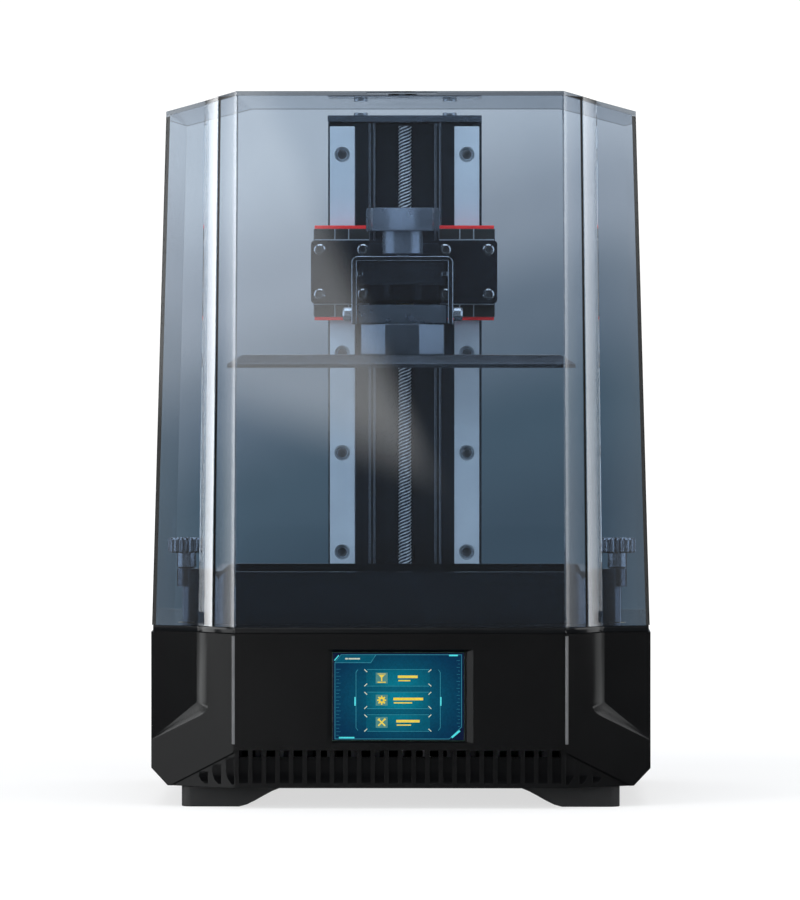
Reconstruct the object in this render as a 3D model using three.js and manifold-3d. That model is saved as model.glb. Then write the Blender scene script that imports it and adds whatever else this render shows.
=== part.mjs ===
// A desktop masked-LCD resin 3-D printer: moulded base with light engine, twin-rail Z column,
// carriage and build platform, resin vat and transparent lift-off cover.
// Millimetres, +X to the viewer's right, +Y away from the viewer, +Z up.
// The origin is at the middle of the footprint, on the surface that the feet stand on.
import * as THREE from "three";
import { ConvexGeometry } from "three/addons/geometries/ConvexGeometry.js";
import { mergeVertices } from "three/addons/utils/BufferGeometryUtils.js";
import Module from "manifold-3d";

const wasm = await Module();
wasm.setup();

// ---------------------------------------------------------------- driving dimensions
const GAP = 0.3; // clearance where one piece is let into another
const HALF_WIDTH = 145;
const FRONT = -135;
const BACK = 135;
const FOOT_HEIGHT = 12;
const BASE_TOP = 101;
const DECK_TOP = 104.8;
const HEIGHT = 413.9;
const REAR_CHAMFER = 7;

// Plan of the front corner of the upper body: half width, and distance behind the front panel.
const PANEL_HALF = 96.2;
const CHEEK_EDGE = [110.5, 9.4];
const STEP_EDGE = [118, 23];
const WING_EDGE = [HALF_WIDTH, 32];
const CHEEK_SLOPE = WING_EDGE[1] / (HALF_WIDTH - PANEL_HALF);

// Base housing.
const BASE_WALL = 3;
const REAR_WALL = 6;
const SIDE_CHAMFER = 9.8;
const LEDGE_HEIGHT = 37; // below this the walls are thicker and carry the vents
const WING_KNEE = 60.5;
const WING_TIP = 38;
const FLOOR_EDGE = 52; // where the recess floor meets the cheek, straight below the step
const KNEE_ROUND = 9;
const CHEEK_CUT = { inner: [96.2, 33], outer: [133, 12.5], depth: 1.4 };
const VENT = { count: 24, pitch: 7.85, width: 5.2, top: 33.8, mouth: 29.8, bottom: 14, recess: 1.1 };
const SCREEN = { half: 42.1, bottom: 38.1, top: 92, depth: 2.5 };
const GLASS = { left: -38.9, right: 37, bottom: 39.5, top: 90.2, front: FRONT + 2.2, thick: 1.5 };
const FOOT = { outer: 127, inner: 93.5, toe: 64, length: 42, frontInset: 21, rearInset: 6, round: 6 };
const PAN_THICK = 1.6;
const PAN_HALF = 129.5;

// Rear connector recess, cooling fan, and the data socket in the right side.
const RECESS = { x0: 28, x1: 100, z0: 34, z1: 74, depth: 3 };
const INLET = { x: 46, z: 54, hole: 5.6 };
const SWITCH = { x: 78, z: 54, width: 15, height: 21, travel: 8 };
const FAN = { x: -70, z: 56, size: 60, thick: 15 };
const USB = { y: -70, z: 62, width: 15, height: 7.6 };

// Light engine.
const WINDOW = { half: 99, front: -82, back: 40 };
const LIGHT_MIDDLE = (WINDOW.front + WINDOW.back) / 2;

// Z column.
const COLUMN = { half: 46.5, front: 77, back: 112, channel: 18, floor: 100, top: 401.9 };
const COLUMN_FOOT_TOP = DECK_TOP + 6;
const SCREW_Y = 80;
const LIMIT_BOTTOM = 136.8; // foot of the optical limit switch, just below the nut at its lowest
const SCREW_RADIUS = 4;
const RAIL = { x: 37.6, width: 15, front: 62, bottom: 111.2, top: 399 };

// Carriage at its rest height.
const BLOCK = { width: 34, front: 49, back: 72, bottom: 284, top: 337, seal: 2 };
const CARRIAGE = { half: 56, front: 41, bottom: 292, top: 330, round: 2.5 };

// Platform head and build platform.
const HEAD = { y: -21, front: -38, back: -4, half: 30, inner: 26.8, bottom: 279.5, top: 319.7 };
const TONGUE = { half: 25, bottom: 303, top: 316.4, front: -33 };
const GROOVE = { depth: 2.2, bottom: 307.5, top: 311 };
const BAR = { half: 26.5, bottom: 279.8, top: 291.2, axis: 285.5 };
const KNOB = { bottom: 334.4, top: 348.2, radius: 22.5, lobes: 7, scallop: 3.4, boss: 12, bossBottom: 320.6 };
const PLATE = { half: 101, front: -83, back: 41, bottom: 254, edge: 2.3, top: 261.5, bevel: 8 };

// Resin vat.
const VAT = { half: 110, front: -102, back: 48.6, bottom: 105, top: 135.6, wall: 6, round: 13 };
const RIM = { height: 5, inset: 0.8 };
const EAR = { x: 126, y: -61, top: 136.2, collar: 5.6, collarBottom: 125.8, middle: 122.4, half: 6 };
const THUMB = { radius: 11, bottom: 145.6, top: 154.3, hub: 5.8, shaft: 2.5, tip: 99 };
const INSERT = { radius: 5, bottom: 97 };

// Cover: plan of its foot, and the half widths and end planes of its crown.
const COVER = {
  wall: 2.5,
  bottom: DECK_TOP + 0.05,
  foot: [[95.7, -134], [108.4, -125.5], [117, -112.5], [144.5, -103], [144.5, 134]],
  crown: { halves: [94.2, 105, 113.5, 136], front: -125, back: 125 },
  flat: 94.2,
  fall: 10.9,
};

const TOP_PANEL = { half: 20.5, front: -47, back: 56, depth: 0.6, oval: [9, 30] };

// ---------------------------------------------------------------- helpers
function solid(geometry) {
  const bare = geometry.clone();
  bare.deleteAttribute("normal");
  bare.deleteAttribute("uv");
  const merged = mergeVertices(bare, 1e-4);
  return new wasm.Manifold(
    new wasm.Mesh({
      numProp: 3,
      vertProperties: merged.attributes.position.array,
      triVerts: new Uint32Array(merged.index.array),
    }),
  );
}

function geometryOf(body) {
  const mesh = body.getMesh();
  return new THREE.BufferGeometry()
    .setAttribute("position", new THREE.BufferAttribute(mesh.vertProperties, 3))
    .setIndex(new THREE.BufferAttribute(mesh.triVerts, 1));
}

function box(x0, x1, y0, y1, z0, z1) {
  const block = new THREE.BoxGeometry(x1 - x0, y1 - y0, z1 - z0);
  return solid(block.translate((x0 + x1) / 2, (y0 + y1) / 2, (z0 + z1) / 2));
}

// An upright rod or disc.
function rod(radius, z0, z1, x = 0, y = 0, sides = 32) {
  const cylinder = new THREE.CylinderGeometry(radius, radius, z1 - z0, sides);
  return solid(cylinder.rotateX(Math.PI / 2).translate(x, y, (z0 + z1) / 2));
}

// A rod along Y.
function rodY(radius, y0, y1, x, z, sides = 32) {
  const cylinder = new THREE.CylinderGeometry(radius, radius, y1 - y0, sides);
  return solid(cylinder.translate(x, (y0 + y1) / 2, z));
}

// A rod along X.
function rodX(radius, x0, x1, y, z, sides = 24) {
  const cylinder = new THREE.CylinderGeometry(radius, radius, x1 - x0, sides);
  return solid(cylinder.rotateZ(Math.PI / 2).translate((x0 + x1) / 2, y, z));
}

function outlineOf(points) {
  return new THREE.Shape(points.map(([x, y]) => new THREE.Vector2(x, y)));
}

// A plan outline raised from z0 to z1.
function raised(shape, z0, z1, curveSegments = 6) {
  const wall = new THREE.ExtrudeGeometry(shape, { depth: z1 - z0, bevelEnabled: false, curveSegments });
  return solid(wall.translate(0, 0, z0));
}

// An outline drawn in X and Z, run from y0 to y1.
function runY(points, y0, y1) {
  const bar = new THREE.ExtrudeGeometry(outlineOf(points), { depth: y1 - y0, bevelEnabled: false });
  return solid(bar.rotateX(Math.PI / 2).translate(0, y1, 0));
}

// An outline drawn in Y and Z, run from x0 to x1.
function runX(points, x0, x1) {
  const bar = new THREE.ExtrudeGeometry(outlineOf(points), { depth: x1 - x0, bevelEnabled: false });
  return solid(bar.rotateX(Math.PI / 2).rotateZ(Math.PI / 2).translate(x0, 0, 0));
}

function hull(points) {
  return solid(new ConvexGeometry(points.map(([x, y, z]) => new THREE.Vector3(x, y, z))));
}

function roundedRectangle(x0, x1, y0, y1, r) {
  const shape = new THREE.Shape();
  shape.moveTo(x0 + r, y0);
  shape.lineTo(x1 - r, y0);
  shape.absarc(x1 - r, y0 + r, r, -Math.PI / 2, 0);
  shape.lineTo(x1, y1 - r);
  shape.absarc(x1 - r, y1 - r, r, 0, Math.PI / 2);
  shape.lineTo(x0 + r, y1);
  shape.absarc(x0 + r, y1 - r, r, Math.PI / 2, Math.PI);
  shape.lineTo(x0, y0 + r);
  shape.absarc(x0 + r, y0 + r, r, Math.PI, Math.PI * 1.5);
  return shape;
}

function mirrored(body) {
  return body.mirror([1, 0, 0]);
}

function both(body) {
  return body.add(mirrored(body));
}

// The right half of an outline, front to back, completed with its mirror image.
function completed(half) {
  return [...half, ...half.map(([x, y]) => [-x, y]).reverse()];
}

// A closed outline, listed anticlockwise, moved inwards by a distance.
function inset(points, distance) {
  const count = points.length;
  return points.map((here, i) => {
    const before = points[(i + count - 1) % count];
    const after = points[(i + 1) % count];
    const one = new THREE.Vector2(here[0] - before[0], here[1] - before[1]).normalize();
    const two = new THREE.Vector2(after[0] - here[0], after[1] - here[1]).normalize();
    const normal = new THREE.Vector2(-one.y - two.y, one.x + two.x).normalize();
    const reach = distance / (normal.x * -one.y + normal.y * one.x);
    return [here[0] + normal.x * reach, here[1] + normal.y * reach];
  });
}

// The solid between two outlines with the same number of points.
function loft(low, z0, high, z1) {
  const count = low.length;
  const positions = [...low.flatMap(([x, y]) => [x, y, z0]), ...high.flatMap(([x, y]) => [x, y, z1])];
  const cap = THREE.ShapeUtils.triangulateShape(low.map(([x, y]) => new THREE.Vector2(x, y)), []);
  const index = [];
  for (const [a, b, c] of cap) {
    index.push(c, b, a);
    index.push(a + count, b + count, c + count);
  }
  for (let i = 0; i < count; i += 1) {
    const next = (i + 1) % count;
    index.push(i, next, next + count);
    index.push(i, next + count, i + count);
  }
  const shell = new THREE.BufferGeometry();
  shell.setAttribute("position", new THREE.Float32BufferAttribute(positions, 3));
  shell.setIndex(index);
  return solid(shell);
}

const FINISHES = {
  black_plastic: [0x17171a, 0.55, 0],
  black_rubber: [0x101012, 0.85, 0],
  black_metal: [0x1a1c20, 0.4, 0.8],
  vat_black: [0x131418, 0.35, 0.2],
  deck: [0x2c3440, 0.35, 0.3],
  screen_glass: [0x0a4a6a, 0.1, 0],
  circuit_green: [0x1d4a33, 0.6, 0],
  lcd: [0x15181f, 0.2, 0],
  lens: [0xbcd0dc, 0.1, 0],
  aluminium: [0xb4bac2, 0.35, 1],
  steel: [0x9aa7b4, 0.25, 1],
  rail_steel: [0x9fb4c4, 0.3, 1],
  knob_slate: [0x4a5566, 0.45, 0.6],
  red_seal: [0xc02a22, 0.5, 0],
  brass: [0xb08d4a, 0.35, 1],
  film: [0xd8dde2, 0.15, 0],
  cover_acrylic: [0x7f9cb8, 0.05, 0],
};

function material(finish) {
  const [color, roughness, metalness] = FINISHES[finish];
  const clear = finish === "cover_acrylic";
  return new THREE.MeshStandardMaterial({
    color,
    roughness,
    metalness,
    transparent: clear,
    opacity: clear ? 0.35 : 1,
  });
}

function add(group, name, body, finish, position = [0, 0, 0]) {
  const mesh = new THREE.Mesh(geometryOf(body), material(finish));
  mesh.name = name;
  mesh.position.set(...position);
  group.add(mesh);
  return mesh;
}

// ---------------------------------------------------------------- base housing
// Depth of the cheek plane behind the front panel at a half width.
function cheekY(x) {
  return FRONT + (x - PANEL_HALF) * CHEEK_SLOPE;
}

function bodyOutline(corner, rearHalf, back) {
  const half = [
    [PANEL_HALF, FRONT],
    ...corner.map(([x, depth]) => [x, FRONT + depth]),
    [rearHalf, back - REAR_CHAMFER],
    [rearHalf - REAR_CHAMFER, back],
  ];
  return completed(half);
}

function wideOutline() {
  return bodyOutline([WING_EDGE], HALF_WIDTH, BACK);
}

function steppedOutline() {
  return bodyOutline([CHEEK_EDGE, STEP_EDGE, WING_EDGE], HALF_WIDTH, BACK);
}

// The recess over each front corner: a step wall, a sloping floor and a rounded knee between them.
function wingRecess() {
  const top = BASE_TOP + 5;
  const outerX = HALF_WIDTH + 6;
  const wingSlope = (WING_EDGE[1] - STEP_EDGE[1]) / (HALF_WIDTH - STEP_EDGE[0]);
  const wingY = (x) => FRONT + STEP_EDGE[1] + (x - STEP_EDGE[0]) * wingSlope;
  const apex = new THREE.Vector3(STEP_EDGE[0], wingY(STEP_EDGE[0]), WING_KNEE);
  const tip = new THREE.Vector3(HALF_WIDTH, wingY(HALF_WIDTH), WING_TIP);
  const floorEdge = new THREE.Vector3(STEP_EDGE[0], cheekY(STEP_EDGE[0]), FLOOR_EDGE);
  const floor = new THREE.Plane().setFromCoplanarPoints(tip, apex, floorEdge);
  const floorZ = (x, y) => -(floor.constant + floor.normal.x * x + floor.normal.y * y) / floor.normal.z;
  const onCheek = (x) => [x, cheekY(x), floorZ(x, cheekY(x))];
  // The knee's arc on the cheek plane, from the upright edge to the sloping one.
  const knee = onCheek(CHEEK_EDGE[0]);
  const sloping = onCheek(CHEEK_EDGE[0] + KNEE_ROUND * 0.7);
  const upright = [knee[0], knee[1], knee[2] + KNEE_ROUND * 0.62];
  const corners = [upright, knee, sloping].map((p) => new THREE.Vector3(...p));
  const arc = new THREE.QuadraticBezierCurve3(...corners).getPoints(5);
  const forward = 2; // carries each ray from the apex well in front of the cheek plane
  const rays = arc.map((p) => p.sub(apex).multiplyScalar(forward).add(apex).toArray());
  const [stepX, frontY] = rays[0];
  return hull([
    ...rays,
    apex.toArray(),
    [apex.x, apex.y, top],
    [stepX, frontY, top],
    [outerX, wingY(outerX), floorZ(outerX, wingY(outerX))],
    [outerX, wingY(outerX), top],
    [outerX, frontY, floorZ(outerX, frontY)],
    [outerX, frontY, top],
  ]);
}

// The shallow undercut below each cheek, and the band that the vents lie in.
function ventBand() {
  const { inner, outer, depth } = CHEEK_CUT;
  const facet = (x, z, lift) => [x + lift * 0.548, cheekY(x) - lift * 0.836, z];
  const undercut = hull([
    facet(inner[0] - 1, inner[1], 6),
    facet(inner[0] - 1, inner[1], -depth),
    facet(inner[0] - 1, 5, 6),
    facet(inner[0] - 1, 5, -depth),
    facet(outer[0], outer[1], 6),
    facet(outer[0], outer[1], -depth),
    facet(outer[0], 5, 6),
    facet(outer[0], 5, -depth),
  ]);
  const band = box(-PANEL_HALF, PANEL_HALF, FRONT - 2, FRONT + VENT.recess, 5, VENT.top);
  return band.add(both(undercut));
}

// One vent: open to the inside at its mouth, then a scooped floor that comes out flush at the foot.
function vent(x) {
  const rim = Math.abs(x) + VENT.width / 2;
  const onCheek = rim > PANEL_HALF;
  const face = (onCheek ? cheekY(Math.abs(x)) : FRONT) + VENT.recess;
  const { inner, outer } = CHEEK_CUT;
  const limit = inner[1] - ((rim - inner[0]) * (inner[1] - outer[1])) / (outer[0] - inner[0]) - 1;
  const top = onCheek ? limit : VENT.top;
  const { bottom } = VENT;
  const mouth = onCheek ? top : VENT.mouth;
  const scoop = onCheek ? 2.6 : 3.2;
  const profile = [
    [face - 6, top],
    [face - 6, bottom],
    [face, bottom],
    [face + scoop * 0.55, bottom + (mouth - bottom) * 0.2],
    [face + scoop * 0.85, bottom + (mouth - bottom) * 0.5],
    [face + scoop, mouth],
  ];
  if (!onCheek) {
    profile.push([face + 9, mouth], [face + 9, top]);
  }
  return runX(profile, x - VENT.width / 2, x + VENT.width / 2);
}

function screenRecess() {
  const { half, bottom, top, depth } = SCREEN;
  const rim = [[-half, bottom], [half, bottom], [half, top], [-half, top]];
  const floor = [
    [GLASS.left - 0.5, GLASS.bottom - 0.6],
    [GLASS.right + 1.6, GLASS.bottom - 0.6],
    [GLASS.right + 1.6, GLASS.top + 0.5],
    [GLASS.left - 0.5, GLASS.top + 0.5],
  ];
  const outward = rim.map(([x, z], i) => [
    x + (x - floor[i][0]) * 0.4,
    FRONT - depth * 0.4,
    z + (z - floor[i][1]) * 0.4,
  ]);
  const tray = hull([...outward, ...floor.map(([x, z]) => [x, FRONT + depth, z])]);
  const hole = box(
    GLASS.left - GAP,
    GLASS.right + GAP,
    FRONT - 1,
    FRONT + BASE_WALL + 1,
    GLASS.bottom - GAP,
    GLASS.top + GAP,
  );
  return tray.add(hole);
}

function baseShell() {
  let shell = raised(outlineOf(wideOutline()), FOOT_HEIGHT, BASE_TOP);
  shell = shell.subtract(both(wingRecess()));
  const lower = FOOT_HEIGHT + SIDE_CHAMFER;
  const chamfer = runY(
    [
      [HALF_WIDTH - SIDE_CHAMFER - 2, FOOT_HEIGHT - 2],
      [HALF_WIDTH + 2, FOOT_HEIGHT - 2],
      [HALF_WIDTH + 2, lower + 2],
    ],
    FRONT - 5,
    BACK + 5,
  );
  shell = shell.subtract(both(chamfer));
  shell = shell.subtract(ventBand());
  // The inside: a wide upper room that follows the stepped outline, and a narrower lower one.
  const rear = BACK - REAR_WALL;
  const upper = raised(outlineOf(inset(steppedOutline(), BASE_WALL)), LEDGE_HEIGHT, BASE_TOP + 1);
  const trimmed = upper.intersect(box(-HALF_WIDTH, HALF_WIDTH, FRONT, rear, 0, HEIGHT));
  const lowerRoom = box(-PAN_HALF, PAN_HALF, -100, rear, FOOT_HEIGHT - 1, LEDGE_HEIGHT + 1);
  const lowerFront = box(-92, 92, FRONT + 8, -99, FOOT_HEIGHT - 1, LEDGE_HEIGHT + 1);
  shell = shell.subtract(trimmed).subtract(lowerRoom).subtract(lowerFront);
  const perSide = VENT.count / 2 + 3;
  for (let i = 0; i < perSide; i += 1) {
    const x = (i + 0.5) * VENT.pitch;
    const slot = vent(x);
    shell = shell.subtract(slot).subtract(mirrored(slot));
  }
  shell = shell.subtract(screenRecess());
  // Rear: connector recess with its two holes, and the fan's slotted grille.
  const holes = box(RECESS.x0, RECESS.x1, BACK - RECESS.depth, BACK + 1, RECESS.z0, RECESS.z1)
    .add(rodY(INLET.hole, rear - 1, BACK, INLET.x, INLET.z))
    .add(
      box(
        SWITCH.x - SWITCH.width / 2 + 1.5,
        SWITCH.x + SWITCH.width / 2 - 1.5,
        rear - 1,
        BACK,
        SWITCH.z - SWITCH.height / 2 + 1.5,
        SWITCH.z + SWITCH.height / 2 - 1.5,
      ),
    );
  shell = shell.subtract(holes);
  const slots = 7;
  for (let i = 0; i < slots; i += 1) {
    const z = FAN.z + (i - (slots - 1) / 2) * 7.4;
    const reach = Math.sqrt(27.5 ** 2 - (z - FAN.z) ** 2);
    shell = shell.subtract(box(FAN.x - reach, FAN.x + reach, rear - 1, BACK + 1, z - 2.2, z + 2.2));
  }
  const socket = box(
    HALF_WIDTH - 20,
    HALF_WIDTH + 1,
    USB.y - USB.width / 2 - GAP,
    USB.y + USB.width / 2 + GAP,
    USB.z - USB.height / 2 - GAP,
    USB.z + USB.height / 2 + GAP,
  );
  return shell.subtract(socket);
}

// A foot: upright outer side, and an inner side that runs up in an S to a long toe.
function foot() {
  const shape = new THREE.Shape();
  shape.moveTo(FOOT.outer, 0);
  shape.lineTo(FOOT.outer, FOOT_HEIGHT);
  shape.lineTo(FOOT.toe, FOOT_HEIGHT);
  shape.bezierCurveTo(FOOT.toe + 11, FOOT_HEIGHT - 0.5, FOOT.inner - 9, 1.2, FOOT.inner, 0);
  const side = new THREE.ExtrudeGeometry(shape, {
    depth: FOOT.length,
    bevelEnabled: false,
    curveSegments: 6,
  });
  const bar = solid(side.rotateX(Math.PI / 2).translate(0, FOOT.length / 2, 0));
  const half = FOOT.length / 2;
  const plan = roundedRectangle(FOOT.toe - 30, FOOT.outer, -half, half, FOOT.round);
  return bar.intersect(raised(plan, -1, FOOT_HEIGHT + 1, 4));
}

function deckPlate() {
  const rim = inset(steppedOutline(), 1);
  let deck = raised(outlineOf(rim), BASE_TOP, DECK_TOP);
  deck = deck.subtract(box(-WINDOW.half, WINDOW.half, WINDOW.front, WINDOW.back, 90, 110));
  deck = deck.subtract(both(rod(INSERT.radius + GAP, 90, 110, EAR.x, EAR.y)));
  return deck.subtract(rod(12, 90, 110, 0, SCREW_Y));
}

function fanFrame() {
  const half = FAN.size / 2;
  const front = BACK - REAR_WALL - FAN.thick - GAP;
  const back = front + FAN.thick;
  const frame = box(FAN.x - half, FAN.x + half, front, back, FAN.z - half, FAN.z + half);
  const hub = rodY(11, front, front + 3, FAN.x, FAN.z, 24);
  const strut = box(FAN.x - half + 1, FAN.x + half - 1, front, front + 2, FAN.z - 2, FAN.z + 2)
    .add(box(FAN.x - 2, FAN.x + 2, front, front + 2, FAN.z - half + 1, FAN.z + half - 1));
  return frame.subtract(rodY(27.5, front - 1, back + 1, FAN.x, FAN.z, 40)).add(hub).add(strut);
}

function fanRotor() {
  const front = BACK - REAR_WALL - FAN.thick - GAP;
  let rotor = rodY(12, front + 4, front + 14, 0, 0, 24);
  const blades = 7;
  for (let i = 0; i < blades; i += 1) {
    const blade = new THREE.BoxGeometry(16, 1.6, 9).rotateX(0.7).translate(18.2, front + 9, 0);
    rotor = rotor.add(solid(blade.rotateY((i * 2 * Math.PI) / blades)));
  }
  return rotor;
}

function heatsink() {
  let body = box(-94, 94, LIGHT_MIDDLE - 58, LIGHT_MIDDLE + 58, 34, 39.6);
  const fins = 13;
  for (let i = 0; i < fins; i += 1) {
    const x = (i - (fins - 1) / 2) * 14;
    body = body.add(box(x - 1.5, x + 1.5, LIGHT_MIDDLE - 58, LIGHT_MIDDLE + 58, 20, 34.1));
  }
  return body;
}

function lightShroud() {
  const outer = box(-102, 102, LIGHT_MIDDLE - 65, LIGHT_MIDDLE + 65, 42, 97.6);
  return outer.subtract(box(-99.6, 99.6, LIGHT_MIDDLE - 62.6, LIGHT_MIDDLE + 62.6, 41, 98));
}

function mainboard() {
  let board = box(32, 124, 52, 112, 20, 21.6);
  const parts = [
    [40, 62, 60, 74, 5],
    [70, 84, 62, 76, 3],
    [92, 118, 56, 66, 9],
    [44, 54, 92, 106, 12],
    [66, 110, 96, 106, 8],
    [96, 112, 76, 88, 4],
  ];
  for (const [x0, x1, y0, y1, h] of parts) {
    board = board.add(box(x0, x1, y0, y1, 21.5, 21.6 + h));
  }
  return board;
}

function powerInlet() {
  const back = BACK - RECESS.depth;
  const barrel = rodY(INLET.hole - GAP, BACK - REAR_WALL - 1, back - 0.4, INLET.x, INLET.z, 24)
    .add(box(INLET.x - 8, INLET.x + 8, back - 19, BACK - REAR_WALL - GAP, INLET.z - 7, INLET.z + 7));
  const mouth = rodY(4, back - 13, back + 1, INLET.x, INLET.z, 12);
  const pin = rodY(1.2, back - 14, back - 2, INLET.x, INLET.z, 6);
  return barrel.subtract(mouth).add(pin);
}

function switchBezel() {
  const back = BACK - RECESS.depth;
  const { x, z, width, height } = SWITCH;
  const flange = box(x - width / 2, x + width / 2, back, back + 1.8, z - height / 2, z + height / 2);
  const block = (dx, dz, y0, y1) =>
    box(x - width / 2 + dx, x + width / 2 - dx, y0, y1, z - height / 2 + dz, z + height / 2 - dz);
  const body = block(2, 2, back - 14, back + 1);
  const well = block(3.4, 3.2, back - 9, back + 3);
  return flange.add(body).subtract(well);
}

// The rocker, tipped to its off side, turning about X at its own origin.
function rocker() {
  const half = 6.9;
  const shape = [[-4.6, -3.6], [-4.6, 3.6], [1.9, half], [0.6, 0], [1.9, -half]];
  const ordered = shape.map(([y, z]) => [y, z]).reverse();
  const width = SWITCH.width / 2 - 3.4 - GAP;
  const body = runX(ordered, -width, width);
  return body.rotate([-SWITCH.travel, 0, 0]);
}

function usbPort() {
  const outer = box(HALF_WIDTH - 18, HALF_WIDTH, USB.y - USB.width / 2, USB.y + USB.width / 2,
    USB.z - USB.height / 2, USB.z + USB.height / 2);
  const inner = box(HALF_WIDTH - 16, HALF_WIDTH + 1, USB.y - USB.width / 2 + 0.9, USB.y + USB.width / 2 - 0.9,
    USB.z - USB.height / 2 + 0.9, USB.z + USB.height / 2 - 0.9);
  return outer.subtract(inner);
}

// ---------------------------------------------------------------- column
function zColumn() {
  const { half, front, back, channel, floor, top } = COLUMN;
  const profile = new THREE.Shape([
    new THREE.Vector2(-half, front),
    new THREE.Vector2(-29.5, front),
    new THREE.Vector2(-29.5, front + 2.5),
    new THREE.Vector2(-22, front + 2.5),
    new THREE.Vector2(-22, front),
    new THREE.Vector2(-channel, front),
    new THREE.Vector2(-channel, floor),
    new THREE.Vector2(channel, floor),
    new THREE.Vector2(channel, front),
    new THREE.Vector2(22, front),
    new THREE.Vector2(22, front + 2.5),
    new THREE.Vector2(29.5, front + 2.5),
    new THREE.Vector2(29.5, front),
    new THREE.Vector2(half, front),
    new THREE.Vector2(half, back),
    new THREE.Vector2(-half, back),
  ]);
  return raised(profile, COLUMN_FOOT_TOP, top);
}

function columnFoot() {
  const { half, front, back } = COLUMN;
  const plate = box(-half - 12, half + 12, front, back + 14, DECK_TOP, COLUMN_FOOT_TOP);
  const low = COLUMN_FOOT_TOP - 0.1;
  const rib = [[back + GAP, low], [back + 13, low], [back + GAP, low + 34]];
  let body = plate;
  for (const x of [-34, 0, 34]) {
    body = body.add(runX(rib, x - 2.5, x + 2.5));
  }
  return body.subtract(rod(12, DECK_TOP - 1, COLUMN_FOOT_TOP + 1, 0, SCREW_Y));
}

function rail() {
  const half = RAIL.width / 2;
  const back = COLUMN.front;
  const { front } = RAIL;
  const right = [[half, front], [half, front + 4], [half - 1.6, front + 5.2], [half - 1.6, front + 8.6],
    [half, front + 9.8], [half, back]];
  return raised(outlineOf(completed(right)), RAIL.bottom, RAIL.top);
}

function guideBlock() {
  const half = BLOCK.width / 2;
  const body = box(-half, half, BLOCK.front, BLOCK.back, BLOCK.bottom, BLOCK.top);
  const saddle = RAIL.width / 2 + 0.4;
  return body.subtract(box(-saddle, saddle, RAIL.front - 0.4, BLOCK.back + 1, 200, 400));
}

function endSeal() {
  const half = BLOCK.width / 2 - 0.6;
  const body = box(-half, half, BLOCK.front + 0.5, BLOCK.back - 0.5, 0, BLOCK.seal);
  const saddle = RAIL.width / 2 + 0.25;
  return body.subtract(box(-saddle, saddle, RAIL.front - 0.25, BLOCK.back + 1, -1, BLOCK.seal + 1));
}

// ---------------------------------------------------------------- carriage
function plateAcross(x0, x1, z0, z1, round, y0, y1) {
  const shape = roundedRectangle(x0, x1, z0, z1, round);
  const sheet = new THREE.ExtrudeGeometry(shape, { depth: y1 - y0, bevelEnabled: false, curveSegments: 4 });
  return solid(sheet.rotateX(Math.PI / 2).translate(0, y1, 0));
}

function carriagePlate() {
  const { half, bottom, top, round, front } = CARRIAGE;
  return plateAcross(-half, half, bottom, top, round, front, BLOCK.front);
}

function platformArm() {
  const { half, bottom, top, front } = TONGUE;
  const flangeHalf = 20.5;
  const low = CARRIAGE.bottom + 2;
  const flange = box(-flangeHalf, flangeHalf, CARRIAGE.front - 7, CARRIAGE.front, low, CARRIAGE.top - 2);
  let arm = flange.add(box(-half, half, front, CARRIAGE.front - 6.9, bottom, top));
  // A groove along each side, open at the front, that the bracket's ledges run in.
  const groove = box(half - GROOVE.depth, half + 1, front - 1, HEAD.back + 2, GROOVE.bottom, GROOVE.top);
  arm = arm.subtract(both(groove));
  for (const x of [-9, 9]) {
    arm = arm.add(box(x - 1.6, x + 1.6, front + 5, CARRIAGE.front - 6.9, 294, bottom + 0.1));
  }
  return arm;
}

function nutBlock() {
  const body = box(-13, 13, BLOCK.front, SCREW_Y + 11, 296, 308);
  return body.subtract(rod(5.6, 290, 312, 0, SCREW_Y));
}

function leadNut() {
  const nut = rod(10.5, 308, 311.6, 0, SCREW_Y).add(rod(5.2, 289, 309, 0, SCREW_Y));
  return nut.subtract(rod(SCREW_RADIUS + 0.35, 280, 320, 0, SCREW_Y));
}

// ---------------------------------------------------------------- platform
function headBracket() {
  const { half, inner, front, back, bottom, top } = HEAD;
  const outer = plateAcross(-half, half, bottom, top, 4, front, back);
  const foot = box(-half, half, front, back, bottom, bottom + 6);
  let bracket = outer.add(foot);
  bracket = bracket.subtract(box(-inner, inner, front - 1, back + 1, bottom - 1, top - 3));
  const ledgeX = TONGUE.half - GROOVE.depth + GAP;
  const ledge = box(ledgeX, inner + 0.1, front + 4, back - 2, GROOVE.bottom + GAP, GROOVE.top - GAP);
  bracket = bracket.add(both(ledge));
  bracket = bracket.subtract(both(rodX(2.8, inner - 1, half + 1, HEAD.y, BAR.axis)));
  return bracket.subtract(rod(4.4, top - 4, top + 1, 0, HEAD.y));
}

// A scalloped hand knob on a boss, with its clamping screw below. One ridge faces forwards.
function clampKnob() {
  const rim = [];
  const steps = KNOB.lobes * 8;
  for (let i = 0; i < steps; i += 1) {
    const turn = (i / steps) * 2 * Math.PI;
    const dip = Math.abs(Math.sin((turn * KNOB.lobes) / 2)) ** 0.7;
    const radius = KNOB.radius - KNOB.scallop * dip;
    rim.push([radius * Math.sin(turn), -radius * Math.cos(turn)]);
  }
  const disc = raised(outlineOf(rim), KNOB.bottom, KNOB.top);
  const boss = rod(KNOB.boss, KNOB.bossBottom, KNOB.bottom + 0.1);
  const screw = rod(4, TONGUE.top + 0.4, KNOB.bossBottom + 0.1, 0, 0, 20);
  return disc.add(boss).add(screw);
}

function tiltBar() {
  const bar = box(-BAR.half, BAR.half, HEAD.y - 8, HEAD.y + 8, BAR.bottom, BAR.top);
  return bar.subtract(both(rodX(2.5, 20, BAR.half + 1, HEAD.y, BAR.axis)));
}

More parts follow.
